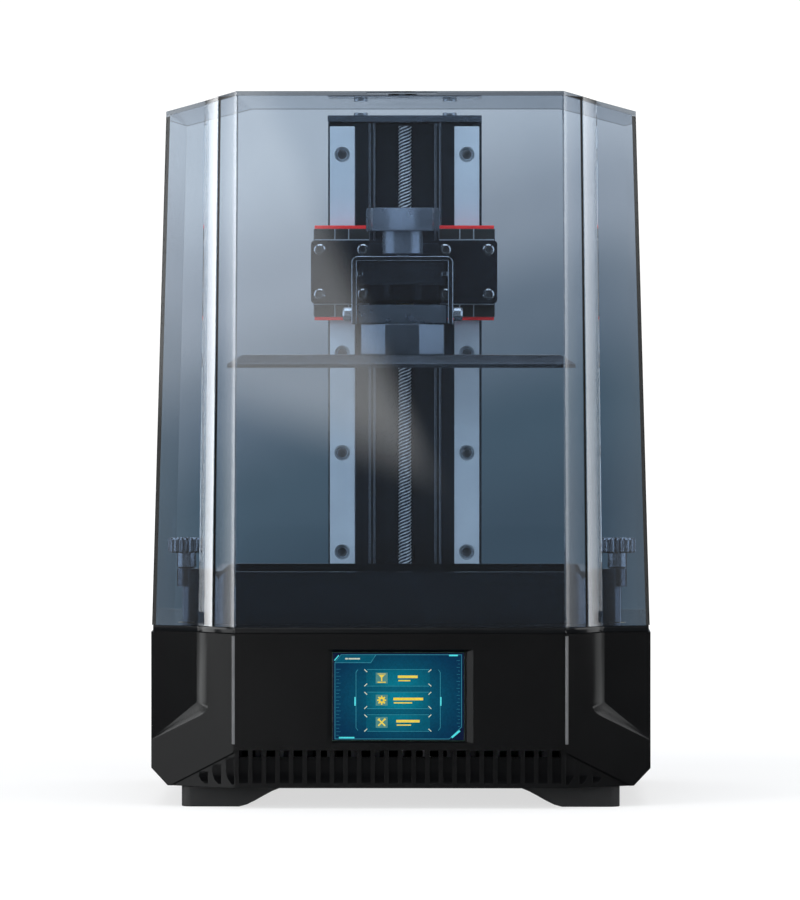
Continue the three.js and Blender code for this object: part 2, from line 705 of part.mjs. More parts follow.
function clampBolt() {
  const head = rodX(4.15, HEAD.half + GAP, 35.5, HEAD.y, BAR.axis);
  return head.add(rodX(2.2, 21, HEAD.half + 0.4, HEAD.y, BAR.axis));
}

function plateNeck() {
  const front = HEAD.y - 24;
  const back = HEAD.y + 24;
  const half = [[10, front], [24.5, HEAD.y - 9], [24.5, HEAD.y + 9], [10, back]];
  return raised(outlineOf(completed(half)), PLATE.top, BAR.bottom);
}

function buildPlate() {
  const { half, front, back, bottom, edge, top, bevel } = PLATE;
  const slab = (reach, z) => [
    [-half + reach, front + reach, z],
    [half - reach, front + reach, z],
    [half - reach, back - reach, z],
    [-half + reach, back - reach, z],
  ];
  return hull([...slab(0, bottom), ...slab(0, bottom + edge), ...slab(bevel, top)]);
}

// ---------------------------------------------------------------- vat
function vatFrame() {
  const { half, front, back, bottom, top, wall, round } = VAT;
  let vat = raised(roundedRectangle(-half, half, front, back, round), bottom, top);
  const inner = roundedRectangle(-half + wall, half - wall, front + wall, back - wall, round - wall);
  vat = vat.subtract(raised(inner, bottom - 1, top + 1));
  // Rebate under the wall for the film and its clamp ring.
  const rebate = roundedRectangle(-half + 2.4, half - 2.4, front + 2.4, back - 2.4, round - 2.4);
  vat = vat.subtract(raised(rebate, bottom - 1, bottom + 3.6));
  // The rim stands back a little from the wall below it.
  const { height: rimHeight, inset: step } = RIM;
  const around = roundedRectangle(-half - 1, half + 1, front - 1, back + 1, round);
  const wide = raised(around, top - rimHeight, top + 1);
  const rim = roundedRectangle(-half + step, half - step, front + step, back - step, round - step);
  vat = vat.subtract(wide.subtract(raised(rim, top - rimHeight - 1, top + 2)));
  // An ear on each side, with a collar at its top, that the thumb screw goes down through.
  const { x, y, middle, collar, collarBottom, half: earHalf } = EAR;
  const ear = box(half - 2, middle, y - earHalf, y + earHalf, bottom, EAR.top)
    .add(rod(earHalf, bottom, EAR.top, middle, y))
    .add(rod(collar, collarBottom, EAR.top, x, y))
    .subtract(rod(2.9, bottom - 1, EAR.top + 1, x, y, 20))
    .subtract(box(x, x + collar + 1, y - 2.7, y + 2.7, bottom - 1, collarBottom));
  vat = vat.add(both(ear));
  // A pouring notch across each front corner of the rim.
  const corner = [half - round * 0.6, front + round * 0.6];
  const notch = new THREE.CylinderGeometry(4.6, 4.6, 22, 4);
  notch.rotateZ(Math.PI / 2).rotateZ(-Math.PI / 4).translate(corner[0], corner[1], top);
  return vat.subtract(both(solid(notch)));
}

function vatFilm() {
  const { half, front, back, bottom, round } = VAT;
  const edge = roundedRectangle(-half + 2.8, half - 2.8, front + 2.8, back - 2.8, round - 2.8);
  return raised(edge, bottom, bottom + 0.4);
}

function clampRing() {
  const { half, front, back, bottom, wall, round } = VAT;
  const outer = roundedRectangle(-half + 2.8, half - 2.8, front + 2.8, back - 2.8, round - 2.8);
  const inner = roundedRectangle(-half + wall, half - wall, front + wall, back - wall, round - wall);
  return raised(outer, bottom + 0.4, bottom + 3.4).subtract(raised(inner, bottom, bottom + 4));
}

// Knurled head, hub and shaft, about the screw's own axis.
function thumbScrew() {
  const rim = new THREE.Shape();
  const teeth = 20;
  for (let i = 0; i < teeth * 2; i += 1) {
    const turn = (i / (teeth * 2)) * 2 * Math.PI;
    const radius = THUMB.radius - (i % 2 ? 1.1 : 0);
    const point = [radius * Math.cos(turn), radius * Math.sin(turn)];
    if (i === 0) rim.moveTo(...point);
    else rim.lineTo(...point);
  }
  return raised(rim, THUMB.bottom, THUMB.top)
    .add(rod(THUMB.hub, EAR.top + GAP, THUMB.bottom + 0.1))
    .add(rod(THUMB.shaft, THUMB.tip, EAR.top + 0.4, 0, 0, 20));
}

// The threaded insert in the deck that a thumb screw goes into.
function deckInsert() {
  const flange = rod(INSERT.radius + 2, INSERT.bottom, BASE_TOP);
  const body = flange.add(rod(INSERT.radius, BASE_TOP - 0.1, DECK_TOP));
  return body.subtract(rod(2.9, INSERT.bottom - 1, DECK_TOP + 1, 0, 0, 20));
}

// ---------------------------------------------------------------- cover
// The crown's plan, with each edge parallel to the one below it so that every face is flat.
function crownPlan() {
  const { halves, front, back } = COVER.crown;
  const plan = [[halves[0], front]];
  for (let i = 1; i < halves.length; i += 1) {
    const [[x0, y0], [x1, y1]] = COVER.foot.slice(i - 1, i + 1);
    plan.push([halves[i], plan[i - 1][1] + ((halves[i] - halves[i - 1]) * (y1 - y0)) / (x1 - x0)]);
  }
  return [...plan, [halves[3], back]];
}

function coverSolid(shrink, z0) {
  const foot = inset(completed(COVER.foot), shrink);
  const crown = inset(completed(crownPlan()), shrink);
  const top = HEIGHT - shrink;
  let body = loft(foot, COVER.bottom, crown, top);
  const slope = COVER.fall / (COVER.crown.halves[3] - COVER.flat);
  const reach = 60;
  const side = runY(
    [
      [COVER.flat, top],
      [COVER.flat + reach, top - reach * slope],
      [COVER.flat + reach, top + 9],
      [COVER.flat, top + 9],
    ],
    FRONT - 5,
    BACK + 5,
  );
  body = body.subtract(both(side));
  if (z0 < COVER.bottom) {
    body = body.add(raised(outlineOf(foot), z0, COVER.bottom + 0.01));
  }
  return body;
}

function cover() {
  const shell = coverSolid(0, COVER.bottom).subtract(coverSolid(COVER.wall, COVER.bottom - 5));
  // A shallow moulded panel in the top, with an oval dimple in its middle.
  const { half, front, back, depth, oval } = TOP_PANEL;
  const panel = box(-half, half, front, back, HEIGHT - depth, HEIGHT + 1);
  const dimple = rod(1, HEIGHT - depth * 2, HEIGHT, 0, 0, 40).scale([oval[0], oval[1], 1]);
  return shell.subtract(panel).subtract(dimple.translate([0, (front + back) / 2, 0]));
}

// ---------------------------------------------------------------- assembly
const printer = new THREE.Group();

function addBase() {
  const base = new THREE.Group();
  add(base, "base_shell", baseShell(), "black_plastic");
  const panTop = FOOT_HEIGHT + PAN_THICK;
  const rearEdge = BACK - REAR_WALL - GAP;
  const pan = box(-PAN_HALF + GAP, PAN_HALF - GAP, -99.7, rearEdge, FOOT_HEIGHT, panTop);
  const tongue = box(-92 + GAP, 92 - GAP, FRONT + 8 + GAP, -99.6, FOOT_HEIGHT, panTop);
  add(base, "base_pan", pan.add(tongue), "black_metal");
  const footY = {
    front: FRONT + FOOT.frontInset + FOOT.length / 2,
    rear: BACK - FOOT.rearInset - FOOT.length / 2,
  };
  for (const [end, y] of Object.entries(footY)) {
    add(base, `foot_${end}_right`, foot(), "black_rubber", [0, y, 0]);
    add(base, `foot_${end}_left`, mirrored(foot()), "black_rubber", [0, y, 0]);
  }
  add(base, "deck_plate", deckPlate(), "deck");
  for (const [side, x] of [["left", -EAR.x], ["right", EAR.x]]) {
    add(base, `deck_insert_${side}`, deckInsert(), "brass", [x, EAR.y, 0]);
  }
  const panel = { x: WINDOW.half - GAP, y0: WINDOW.front + GAP, y1: WINDOW.back - GAP };
  add(base, "lcd_glass", box(-panel.x, panel.x, panel.y0, panel.y1, DECK_TOP - 1.6, DECK_TOP), "lcd");
  add(base, "lcd_panel", box(-103, 103, WINDOW.front - 5, WINDOW.back + 5, BASE_TOP - 3, BASE_TOP), "lcd");
  add(base, "light_shroud", lightShroud(), "black_plastic");
  const lensY = [LIGHT_MIDDLE - 62, LIGHT_MIDDLE + 62];
  add(base, "light_lens", box(-99, 99, ...lensY, 84, 88), "lens");
  add(base, "led_board", box(-94, 94, LIGHT_MIDDLE - 58, LIGHT_MIDDLE + 58, 39.6, 41.4), "circuit_green");
  add(base, "light_heatsink", heatsink(), "aluminium");
  add(base, "fan_frame", fanFrame(), "black_plastic");
  add(base, "mainboard", mainboard(), "circuit_green");
  add(base, "power_inlet", powerInlet(), "black_plastic");
  add(base, "switch_bezel", switchBezel(), "black_plastic");
  add(base, "usb_port", usbPort(), "steel");
  const glass = box(GLASS.left, GLASS.right, GLASS.front, GLASS.front + GLASS.thick, GLASS.bottom, GLASS.top);
  add(base, "touch_glass", glass, "screen_glass");
  const behind = FRONT + BASE_WALL + 1;
  const module = box(GLASS.left - 3, GLASS.right + 3, behind, behind + 6, GLASS.bottom - 2.2, GLASS.top + 3);
  add(base, "display_module", module, "circuit_green");
  printer.add(base);
}

function addMovingBaseParts() {
  add(printer, "fan_rotor", fanRotor(), "black_plastic", [FAN.x, 0, FAN.z]);
  const pivot = [SWITCH.x, BACK - RECESS.depth - 0.4, SWITCH.z];
  add(printer, "power_rocker", rocker(), "black_plastic", pivot);
}

function addColumn() {
  const column = new THREE.Group();
  add(column, "column_foot", columnFoot(), "black_metal");
  add(column, "z_column", zColumn(), "black_metal");
  const { half, back, top } = COLUMN;
  const cap = plateAcross(-half, half, top, top + 3.8, 0.5, COLUMN.front - 13, back + 2);
  const bore = rod(5, top - 1, top + 5, 0, SCREW_Y);
  const screwHoles = both(rod(2.2, top - 1, top + 5, 27, 90, 16));
  add(column, "column_top_plate", cap.subtract(bore).subtract(screwHoles), "black_metal");
  for (const [side, x] of [["left", -27], ["right", 27]]) {
    const head = rod(4.25, top + 3.8, top + 6.2, 0, 0, 24).add(rod(1.9, top + 0.3, top + 4, 0, 0, 16));
    add(column, `top_screw_${side}`, head, "steel", [x, 90, 0]);
  }
  add(column, "rail_left", rail(), "rail_steel", [-RAIL.x, 0, 0]);
  add(column, "rail_right", rail(), "rail_steel", [RAIL.x, 0, 0]);
  const motor = box(-21, 21, SCREW_Y - 21, SCREW_Y + 21, 60, BASE_TOP);
  add(column, "z_motor", motor.subtract(rod(3, 80, 110, 0, SCREW_Y, 20)), "black_metal");
  const slot = box(-1.6, 1.6, COLUMN.floor - 11, COLUMN.floor - 5, -1, 9);
  const fork = box(-5, 5, COLUMN.floor - 10, COLUMN.floor, 0, 8).subtract(slot);
  add(column, "limit_switch", fork, "black_plastic", [0, 0, LIMIT_BOTTOM]);
  printer.add(column);
}

function addScrew() {
  const drive = new THREE.Group();
  drive.position.set(0, SCREW_Y, 0);
  add(drive, "lead_screw", rod(SCREW_RADIUS, 121, 400, 0, 0, 24), "steel");
  const bores = rod(2.8, 100, 121, 0, 0, 16).add(rod(SCREW_RADIUS + GAP, 120.7, 140, 0, 0, 24));
  add(drive, "shaft_coupler", rod(9.5, 108, 134).subtract(bores), "aluminium");
  add(drive, "motor_shaft", rod(2.5, 82, 119.5, 0, 0, 16), "steel");
  printer.add(drive);
}

function addCarriage() {
  const carriage = new THREE.Group();
  for (const [side, x] of [["left", -RAIL.x], ["right", RAIL.x]]) {
    add(carriage, `guide_block_${side}`, guideBlock(), "black_metal", [x, 0, 0]);
    add(carriage, `seal_${side}_top`, endSeal(), "red_seal", [x, 0, BLOCK.top]);
    add(carriage, `seal_${side}_bottom`, endSeal(), "red_seal", [x, 0, BLOCK.bottom - BLOCK.seal]);
  }
  add(carriage, "carriage_plate", carriagePlate(), "black_metal");
  add(carriage, "platform_arm", platformArm(), "black_metal");
  add(carriage, "nut_block", nutBlock(), "aluminium");
  add(carriage, "lead_nut", leadNut(), "brass");
  printer.add(carriage);
}

function addPlatform() {
  const platform = new THREE.Group();
  add(platform, "head_bracket", headBracket(), "black_metal");
  add(platform, "clamp_knob", clampKnob(), "knob_slate", [0, HEAD.y, 0]);
  add(platform, "tilt_bar", tiltBar(), "black_metal");
  add(platform, "clamp_bolt_right", clampBolt(), "steel");
  add(platform, "clamp_bolt_left", mirrored(clampBolt()), "steel");
  add(platform, "plate_neck", plateNeck(), "black_metal");
  add(platform, "build_plate", buildPlate(), "black_metal");
  printer.add(platform);
}

function addVat() {
  const vat = new THREE.Group();
  add(vat, "vat_frame", vatFrame(), "vat_black");
  add(vat, "vat_film", vatFilm(), "film");
  add(vat, "film_clamp_ring", clampRing(), "aluminium");
  add(vat, "thumb_screw_left", thumbScrew(), "knob_slate", [-EAR.x, EAR.y, 0]);
  add(vat, "thumb_screw_right", thumbScrew(), "knob_slate", [EAR.x, EAR.y, 0]);
  printer.add(vat);
}

addBase();
addMovingBaseParts();
addColumn();
addScrew();
addCarriage();
addPlatform();
addVat();
add(printer, "cover", cover(), "cover_acrylic");

export default printer;
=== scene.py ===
# A desktop masked-LCD resin printer: finishes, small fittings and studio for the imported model.
# Everything is in metres in the model's own frame; MM turns millimetres into metres.
import math

import bmesh
import bpy
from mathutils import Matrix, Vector


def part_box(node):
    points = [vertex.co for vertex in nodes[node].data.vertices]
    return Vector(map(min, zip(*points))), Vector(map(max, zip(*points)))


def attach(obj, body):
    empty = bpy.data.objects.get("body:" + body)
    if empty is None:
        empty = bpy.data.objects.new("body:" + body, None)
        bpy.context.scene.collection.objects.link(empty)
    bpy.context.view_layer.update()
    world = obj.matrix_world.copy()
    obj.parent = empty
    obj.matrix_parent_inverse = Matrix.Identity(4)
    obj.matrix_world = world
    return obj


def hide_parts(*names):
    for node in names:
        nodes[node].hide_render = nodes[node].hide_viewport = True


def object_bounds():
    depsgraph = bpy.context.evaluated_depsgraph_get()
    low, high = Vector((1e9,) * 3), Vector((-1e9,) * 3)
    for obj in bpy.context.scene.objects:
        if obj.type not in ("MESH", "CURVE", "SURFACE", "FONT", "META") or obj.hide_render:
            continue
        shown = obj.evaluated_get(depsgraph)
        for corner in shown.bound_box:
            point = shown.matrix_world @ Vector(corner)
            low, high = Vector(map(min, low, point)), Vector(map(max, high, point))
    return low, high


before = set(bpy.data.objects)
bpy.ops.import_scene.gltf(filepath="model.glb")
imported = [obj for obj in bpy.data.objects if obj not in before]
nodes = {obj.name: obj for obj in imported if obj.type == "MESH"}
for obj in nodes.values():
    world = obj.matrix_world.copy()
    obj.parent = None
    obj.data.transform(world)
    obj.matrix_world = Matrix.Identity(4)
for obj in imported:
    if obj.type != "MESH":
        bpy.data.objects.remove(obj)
cad_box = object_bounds()
MM = 0.001
UP = (0, 0, 1)
scene = bpy.context.scene

# The cover's front corner facets from the panel outwards, in mm on the right side: creases at its foot, and
# half widths at its crown, where each facet stays parallel to its foot.
FACET_FOOT = [(95.7, -134), (108.4, -125.5), (117, -112.5), (144.5, -103)]
CROWN_HALVES = [94.2, 105, 113.5, 136]
CROWN_FRONT = -125
CROWN_FALL = 0.26  # how steeply the crown drops past the panel
COVER_SPAN = (104.85, 413.9)

# ---- camera
camera_data = bpy.data.cameras.new("camera")
camera_data.lens = 278
camera_data.sensor_width = 36
camera_data.clip_end = 60
camera = bpy.data.objects.new("camera", camera_data)
camera.location = (0.056, -4.135, 0.275)
camera.rotation_mode = "QUATERNION"
aim = Vector((0.0, -0.135, 0.207)) - camera.location
camera.rotation_quaternion = aim.to_track_quat("-Z", "Y")
scene.collection.objects.link(camera)
scene.camera = camera
scene.view_settings.view_transform = "Standard"


# ---- shader helpers
def new_tree(name):
    material = bpy.data.materials.new(name)
    material.use_nodes = True
    tree = material.node_tree
    tree.nodes.clear()
    output = tree.nodes.new("ShaderNodeOutputMaterial")
    return material, tree, output


def feed(tree, socket, value):
    """Links an input to another node's output, or sets it to a plain value."""
    if isinstance(value, bpy.types.NodeSocket):
        tree.links.new(value, socket)
    else:
        socket.default_value = value


def place(tree, scale=(1, 1, 1)):
    """Object coordinates in metres, stretched per axis."""
    source = tree.nodes.new("ShaderNodeTexCoord")
    mapping = tree.nodes.new("ShaderNodeMapping")
    mapping.inputs["Scale"].default_value = scale
    tree.links.new(source.outputs["Object"], mapping.inputs["Vector"])
    return mapping.outputs["Vector"]


def noise(tree, vector, scale, detail):
    node = tree.nodes.new("ShaderNodeTexNoise")
    node.inputs["Scale"].default_value = scale
    node.inputs["Detail"].default_value = detail
    node.inputs["Roughness"].default_value = 0.55
    tree.links.new(vector, node.inputs["Vector"])
    return node.outputs["Fac"]


def span(tree, value, low, high, start=0.3, stop=0.7, smooth=False):
    node = tree.nodes.new("ShaderNodeMapRange")
    node.interpolation_type = "SMOOTHSTEP" if smooth else "LINEAR"
    node.inputs["From Min"].default_value = start
    node.inputs["From Max"].default_value = stop
    node.inputs["To Min"].default_value = low
    node.inputs["To Max"].default_value = high
    tree.links.new(value, node.inputs["Value"])
    return node.outputs["Result"]


def blend_colour(tree, factor, first, second):
    node = tree.nodes.new("ShaderNodeMix")
    node.data_type = "RGBA"
    tree.links.new(factor, node.inputs["Factor"])
    for socket, value in (("A", first), ("B", second)):
        target = [s for s in node.inputs if s.name == socket and s.type == "RGBA"][0]
        feed(tree, target, (*value, 1) if isinstance(value, tuple) else value)
    return [s for s in node.outputs if s.type == "RGBA"][0]


def calculate(tree, operation, *values):
    node = tree.nodes.new("ShaderNodeMath")
    node.operation = operation
    for socket, value in zip(node.inputs, values):
        feed(tree, socket, value)
    return node.outputs[0]


def times(tree, first, second):
    return calculate(tree, "MULTIPLY", first, second)


def plus(tree, first, second):
    return calculate(tree, "ADD", first, second)


def split(tree, vector):
    node = tree.nodes.new("ShaderNodeSeparateXYZ")
    tree.links.new(vector, node.inputs[0])
    return node.outputs


def distance(tree, first, second):
    """The length of the two offsets taken together."""
    return calculate(tree, "SQRT", plus(tree, times(tree, first, first), times(tree, second, second)))


def principled(tree, output, **settings):
    """A Principled shader, linked to the output. Settings are plain values or sockets, by input name."""
    shader = tree.nodes.new("ShaderNodeBsdfPrincipled")
    for name, value in settings.items():
        feed(tree, shader.inputs[name.replace("_", " ").replace("Ior", "IOR")], value)
    tree.links.new(shader.outputs["BSDF"], output.inputs["Surface"])
    return shader


def edge_highlight_mask(tree):
    """1 where a face looks along none of the object's own axes, as a rounded edge does: the mask of the
    painted edge highlight.
    """
    facing = tree.nodes.new("ShaderNodeTexCoord").outputs["Normal"]
    parts = [calculate(tree, "ABSOLUTE", part) for part in split(tree, facing)]
    most = calculate(tree, "MAXIMUM", calculate(tree, "MAXIMUM", parts[0], parts[1]), parts[2])
    return span(tree, most, 1.0, 0.0, 0.93, 0.985)


def surface(name, colour, rough, metal=0.0, grain=1500, depth=0.0, vary=0.12, spread=0.02,
            stretch=(1, 1, 1), cloud=40, specular=0.5, edge=None):
    """A solid finish: cloudy colour, uneven roughness and a fine grain, stretched for brushed metal.
    edge is a paler colour painted on the rounded edges as a highlight, which no flat face of the piece has."""
    material, tree, output = new_tree(name)
    clouds = noise(tree, place(tree), cloud, 4)
    dark = tuple(c * (1 - vary) for c in colour)
    light = tuple(min(1.0, c * (1 + vary)) for c in colour)
    shade = blend_colour(tree, span(tree, clouds, 0, 1), dark, light)
    # Painted highlight: the rounded edges take the paler edge colour.
    if edge:
        shade = blend_colour(tree, edge_highlight_mask(tree), shade, edge)
    shader = principled(tree, output, Base_Color=shade, Metallic=metal, Specular_Ior_Level=specular)
    if depth:
        fine = noise(tree, place(tree, stretch), grain, 2)
        mixed = times(tree, plus(tree, clouds, fine), 0.5)
        bump = tree.nodes.new("ShaderNodeBump")
        bump.inputs["Strength"].default_value = 1.0
        bump.inputs["Distance"].default_value = depth
        tree.links.new(fine, bump.inputs["Height"])
        tree.links.new(bump.outputs["Normal"], shader.inputs["Normal"])
    else:
        mixed = noise(tree, place(tree, stretch), cloud * 2.5, 3)
    low, high = max(0.02, rough - spread), min(1.0, rough + spread)
    tree.links.new(span(tree, mixed, low, high), shader.inputs["Roughness"])
    return material


def metal(name, colour, rough, **more):
    return surface(name, colour, rough, 1.0, **more)


def lit(name, colour, rim, centre, reach):
    """A display layer: it glows from rim colour to centre colour round a point, over a fine pixel grain."""
    material, tree, output = new_tree(name)
    source = place(tree)
    x, y, z = split(tree, source)
    offsets = [calculate(tree, "DIVIDE", calculate(tree, "SUBTRACT", part, middle), limit)
               for part, middle, limit in zip((x, z), centre, reach)]
    shade = blend_colour(tree, span(tree, distance(tree, *offsets), 0, 1, 0.0, 1.0, True), colour, rim)
    pixels = span(tree, noise(tree, source, 900, 1), 0.9, 1.1)
    principled(tree, output, Base_Color=(0.002, 0.002, 0.003, 1), Roughness=0.25, Specular_Ior_Level=0.02,
               Emission_Color=shade, Emission_Strength=pixels)
    return material


# ---- mesh helpers
def new_piece(built, name):
    mesh = bpy.data.meshes.new(name)
    built.to_mesh(mesh)
    built.free()
    piece = bpy.data.objects.new(name, mesh)
    scene.collection.objects.link(piece)
    return piece


def finish_mesh(built, name, material, body, edge=0.0, sharp=32):
    """Turns a bmesh into a piece that rides on a body, with creases kept sharp above an angle."""
    bmesh.ops.remove_doubles(built, verts=built.verts, dist=1e-7)
    bmesh.ops.recalc_face_normals(built, faces=built.faces)
    for face in built.faces:
        face.smooth = True
    for crease in built.edges:
        crease.smooth = crease.calc_face_angle(0.0) < math.radians(sharp)
    piece = new_piece(built, name)
    piece.data.materials.append(material)
    if edge:
        soften(piece, edge)
    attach(piece, body)
    return piece


def box_mm(name):
    """The low corner, the high corner and the middle of a CAD node, in mm."""
    low, high = (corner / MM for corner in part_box(name))
    return low, high, (low + high) / 2


def soften(piece, width, segments=2, angle=30, clamp=True):
    bevel = piece.modifiers.new("edge", "BEVEL")
    bevel.use_clamp_overlap = clamp
    bevel.width = width
    bevel.segments = segments
    bevel.limit_method = "ANGLE"
    bevel.angle_limit = math.radians(angle)
    normals = piece.modifiers.new("normals", "WEIGHTED_NORMAL")
    normals.keep_sharp = False


def add_loops(built, loops, ends=(True, True)):
    """Skins a row of closed loops that have the same number of points, all in metres."""
    rings = [[built.verts.new(p) for p in loop] for loop in loops]
    for low, high in zip(rings, rings[1:]):
        count = len(low)
        for i in range(count):
            j = (i + 1) % count
            built.faces.new((low[i], low[j], high[j], high[i]))
    if ends[0]:
        built.faces.new(list(reversed(rings[0])))
    if ends[1]:
        built.faces.new(rings[-1])


def frame_of(origin, axis):
    """Maps (a, b, h) in mm to the model frame, with h along the axis from the origin in mm."""
    up = Vector(axis).normalized()
    side = Vector((0, 0, 1)) if abs(up.z) < 0.5 else Vector((1, 0, 0))
    first = side.cross(up).normalized()
    second = up.cross(first)
    base = Vector(origin)
    return lambda a, b, h: (base + first * a + second * b + up * h) * MM


def circle(radius, count):
    turns = [2 * math.pi * i / count for i in range(count)]
    return [(radius * math.cos(turn), radius * math.sin(turn)) for turn in turns]


def polygon_ring(radius, sides, count):
    """Points spread evenly in angle on a regular polygon of the given corner radius."""
    ring = []
    for i in range(count):
        angle = 2 * math.pi * i / count
        wedge = 2 * math.pi / sides
        inside = (angle % wedge) - wedge / 2
        reach = radius * math.cos(wedge / 2) / math.cos(inside)
        ring.append((reach * math.cos(angle), reach * math.sin(angle)))
    return ring


def add_turned(built, profile, origin, axis, count=32):
    """A turned solid from (radius, height) pairs."""
    to_frame = frame_of(origin, axis)
    add_loops(built, [[to_frame(a, b, h) for a, b in circle(radius, count)] for radius, h in profile])


def add_socket_screw(built, origin, axis, radius, height, below=0.0):
    """A cap screw head with a chamfered rim and a hexagonal socket. height is above the origin."""
    to_frame = frame_of(origin, axis)
    count = 24
    rim = 0.26 * radius
    loops = []
    for r, h in ((radius, -below), (radius, height - rim), (radius - rim, height), (radius * 0.66, height)):
        loops.append([to_frame(a, b, h) for a, b in circle(r, count)])
    for h in (height - 0.08 * radius, height - 0.75 * radius):
        loops.append([to_frame(a, b, h) for a, b in polygon_ring(radius * 0.5, 6, count)])
    add_loops(built, loops)


def screw_group(name, material, body, spots, axis, radius, height, below):
    """A set of like cap screws on one body, at spots in mm."""
    built = bmesh.new()
    for spot in spots:
        add_socket_screw(built, spot, axis, radius, height, below)
    finish_mesh(built, name, material, body)


def add_shaped(built, ring, rows, x, y):
    """An upright solid whose levels are the ring at a scale. rows are (scale, height) pairs."""
    add_loops(built, [[Vector((x + a * scale, y + b * scale, z)) * MM for a, b in ring] for scale, z in rows])


def add_block(built, x0, x1, y0, y1, z0, z1):
    loops = [[Vector((x, y, z)) * MM for x, y in ((x0, y0), (x1, y0), (x1, y1), (x0, y1))] for z in (z0, z1)]
    add_loops(built, loops)


def add_facing(built, outline, front, back):
    """An outline in (x, z), in mm, as a thin solid from front to back along Y."""
    add_loops(built, [[Vector((x, y, z)) * MM for x, z in outline] for y in (front, back)])


def cutter(name, body, build):
    """A hidden solid that rides on a body, for a Boolean modifier to take away."""
    built = bmesh.new()
    build(built)
    bmesh.ops.recalc_face_normals(built, faces=built.faces)
    piece = new_piece(built, name)
    piece.hide_render = True
    piece.display_type = "WIRE"
    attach(piece, body)
    return piece


def dress(name, material, edge=0.5, segments=2, angle=30, cut=None, flatten=1.0, clamp=True):
    """Gives a CAD node its finish and softened edges, and takes away any cutter."""
    node = nodes[name]
    node.data.materials.clear()
    node.data.materials.append(material)
    for face in node.data.polygons:
        face.use_smooth = True
    weld = node.modifiers.new("weld", "WELD")
    weld.merge_threshold = 2e-6
    if flatten:
        dissolve = node.modifiers.new("flatten", "DECIMATE")
        dissolve.decimate_type = "DISSOLVE"
        dissolve.angle_limit = math.radians(flatten)
    if cut is not None:
        away = node.modifiers.new("cut", "BOOLEAN")
        away.operation = "DIFFERENCE"
        away.solver = "EXACT"
        away.object = cut
    if edge:
        soften(node, edge * MM, segments, angle, clamp)
    return node


# ---- finishes
SHELL_GLOSS = 0.22
VENT_SHADE_GLOSS = 0.06
shell_black = surface("shell_black", (0.0020, 0.0020, 0.0022), 0.22, grain=2600, depth=0.000001, vary=0.08,
                      specular=SHELL_GLOSS)


VENT_TOP = (0.0365, 0.0375)
VENT_HALF = (93 * MM, 94 * MM)
VENT_DEPTH = (1.25 * MM, 1.6 * MM)


def shade_vent_scoops(material):
    """Painted shade in the vents, which lie below the screen and behind the front's plane: the moulding's
    gloss is lowered there to darken them.
    """
    tree = material.node_tree
    shader = [node for node in tree.nodes if node.type == "BSDF_PRINCIPLED"][0]
    facing = tree.nodes.new("ShaderNodeTexCoord").outputs["Normal"]
    x, y, z = split(tree, place(tree))
    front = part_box("base_shell")[0].y
    deep = span(tree, y, 0.0, 1.0, front + VENT_DEPTH[0], front + VENT_DEPTH[1])
    middle = span(tree, calculate(tree, "ABSOLUTE", x), 1.0, 0.0, *VENT_HALF)
    upward = span(tree, split(tree, facing)[2], 0.0, 1.0, 0.04, 0.2)
    inside = calculate(tree, "MAXIMUM", times(tree, deep, middle), upward)
    # Painted shade: the vent scoops get a lower gloss, which darkens them.
    painted_vent_shade = times(tree, span(tree, z, 1.0, 0.0, *VENT_TOP), inside)
    tree.links.new(span(tree, painted_vent_shade, SHELL_GLOSS, VENT_SHADE_GLOSS, 0.0, 1.0), shader.inputs["Specular IOR Level"])


shade_vent_scoops(shell_black)
# Painted highlight: the fold beads are far paler than the black moulding.
fold_painted_highlight = surface("shell_fold_painted_highlight", (0.085, 0.085, 0.087), 0.34)
inner_black = surface("inner_black", (0.007, 0.0075, 0.008), 0.5, grain=1800, depth=0.000003, spread=0.06)
rubber = surface("foot_rubber", (0.004, 0.004, 0.0043), 0.62, grain=1200, depth=0.00001, spread=0.06)
# Each edge colour in the finishes below is a painted highlight on the piece's rounded edges.
anodised = metal("anodised_black", (0.065, 0.078, 0.10), 0.22, edge=(0.2, 0.22, 0.25))
bracket_black = metal("bracket_black", (0.10, 0.12, 0.15), 0.18, edge=(0.5, 0.55, 0.6))
column_black = metal("column_black", (0.085, 0.10, 0.12), 0.24, stretch=(8, 8, 0.05))
lip_with_painted_highlight = metal("slot_lip", (0.16, 0.18, 0.21), 0.22, stretch=(8, 8, 0.05), spread=0.06,
                   edge=(0.6, 0.66, 0.72))
pan_black = surface("pan_black", (0.012, 0.0125, 0.014), 0.5, 0.3, depth=0.000006, spread=0.06)
vat_black = metal("vat_black", (0.040, 0.052, 0.066), 0.22, edge=(0.09, 0.11, 0.14))
deck_finish = surface("deck_satin", (0.004, 0.0044, 0.005), 0.12, specular=0.4)
plate_finish = metal("plate_black", (0.10, 0.115, 0.135), 0.24, spread=0.03)
neck_finish = metal("neck_grey", (0.24, 0.28, 0.33), 0.2)
slate = surface("knob_slate", (0.23, 0.27, 0.33), 0.26, 0.9)
bar_slate = surface("bar_slate", (0.16, 0.19, 0.23), 0.26, 0.9)
thumb_finish = metal("thumb_slate", (0.24, 0.28, 0.33), 0.2)
steel = metal("bright_steel", (0.62, 0.66, 0.70), 0.2)
cap_outline_highlight = surface("cap_outline_highlight", (0.42, 0.45, 0.48), 0.4, 0.3)
dark_steel = metal("dark_steel", (0.24, 0.255, 0.27), 0.14, edge=(0.7, 0.72, 0.75))
rail_steel = surface("rail_steel", (0.56, 0.60, 0.63), 0.32, 0.2, stretch=(9, 9, 0.05), vary=0.05, spread=0.04)
aluminium = metal("milled_aluminium", (0.5, 0.52, 0.55), 0.34, grain=900, depth=0.000002, stretch=(6, 0.2, 6),
                  spread=0.06)
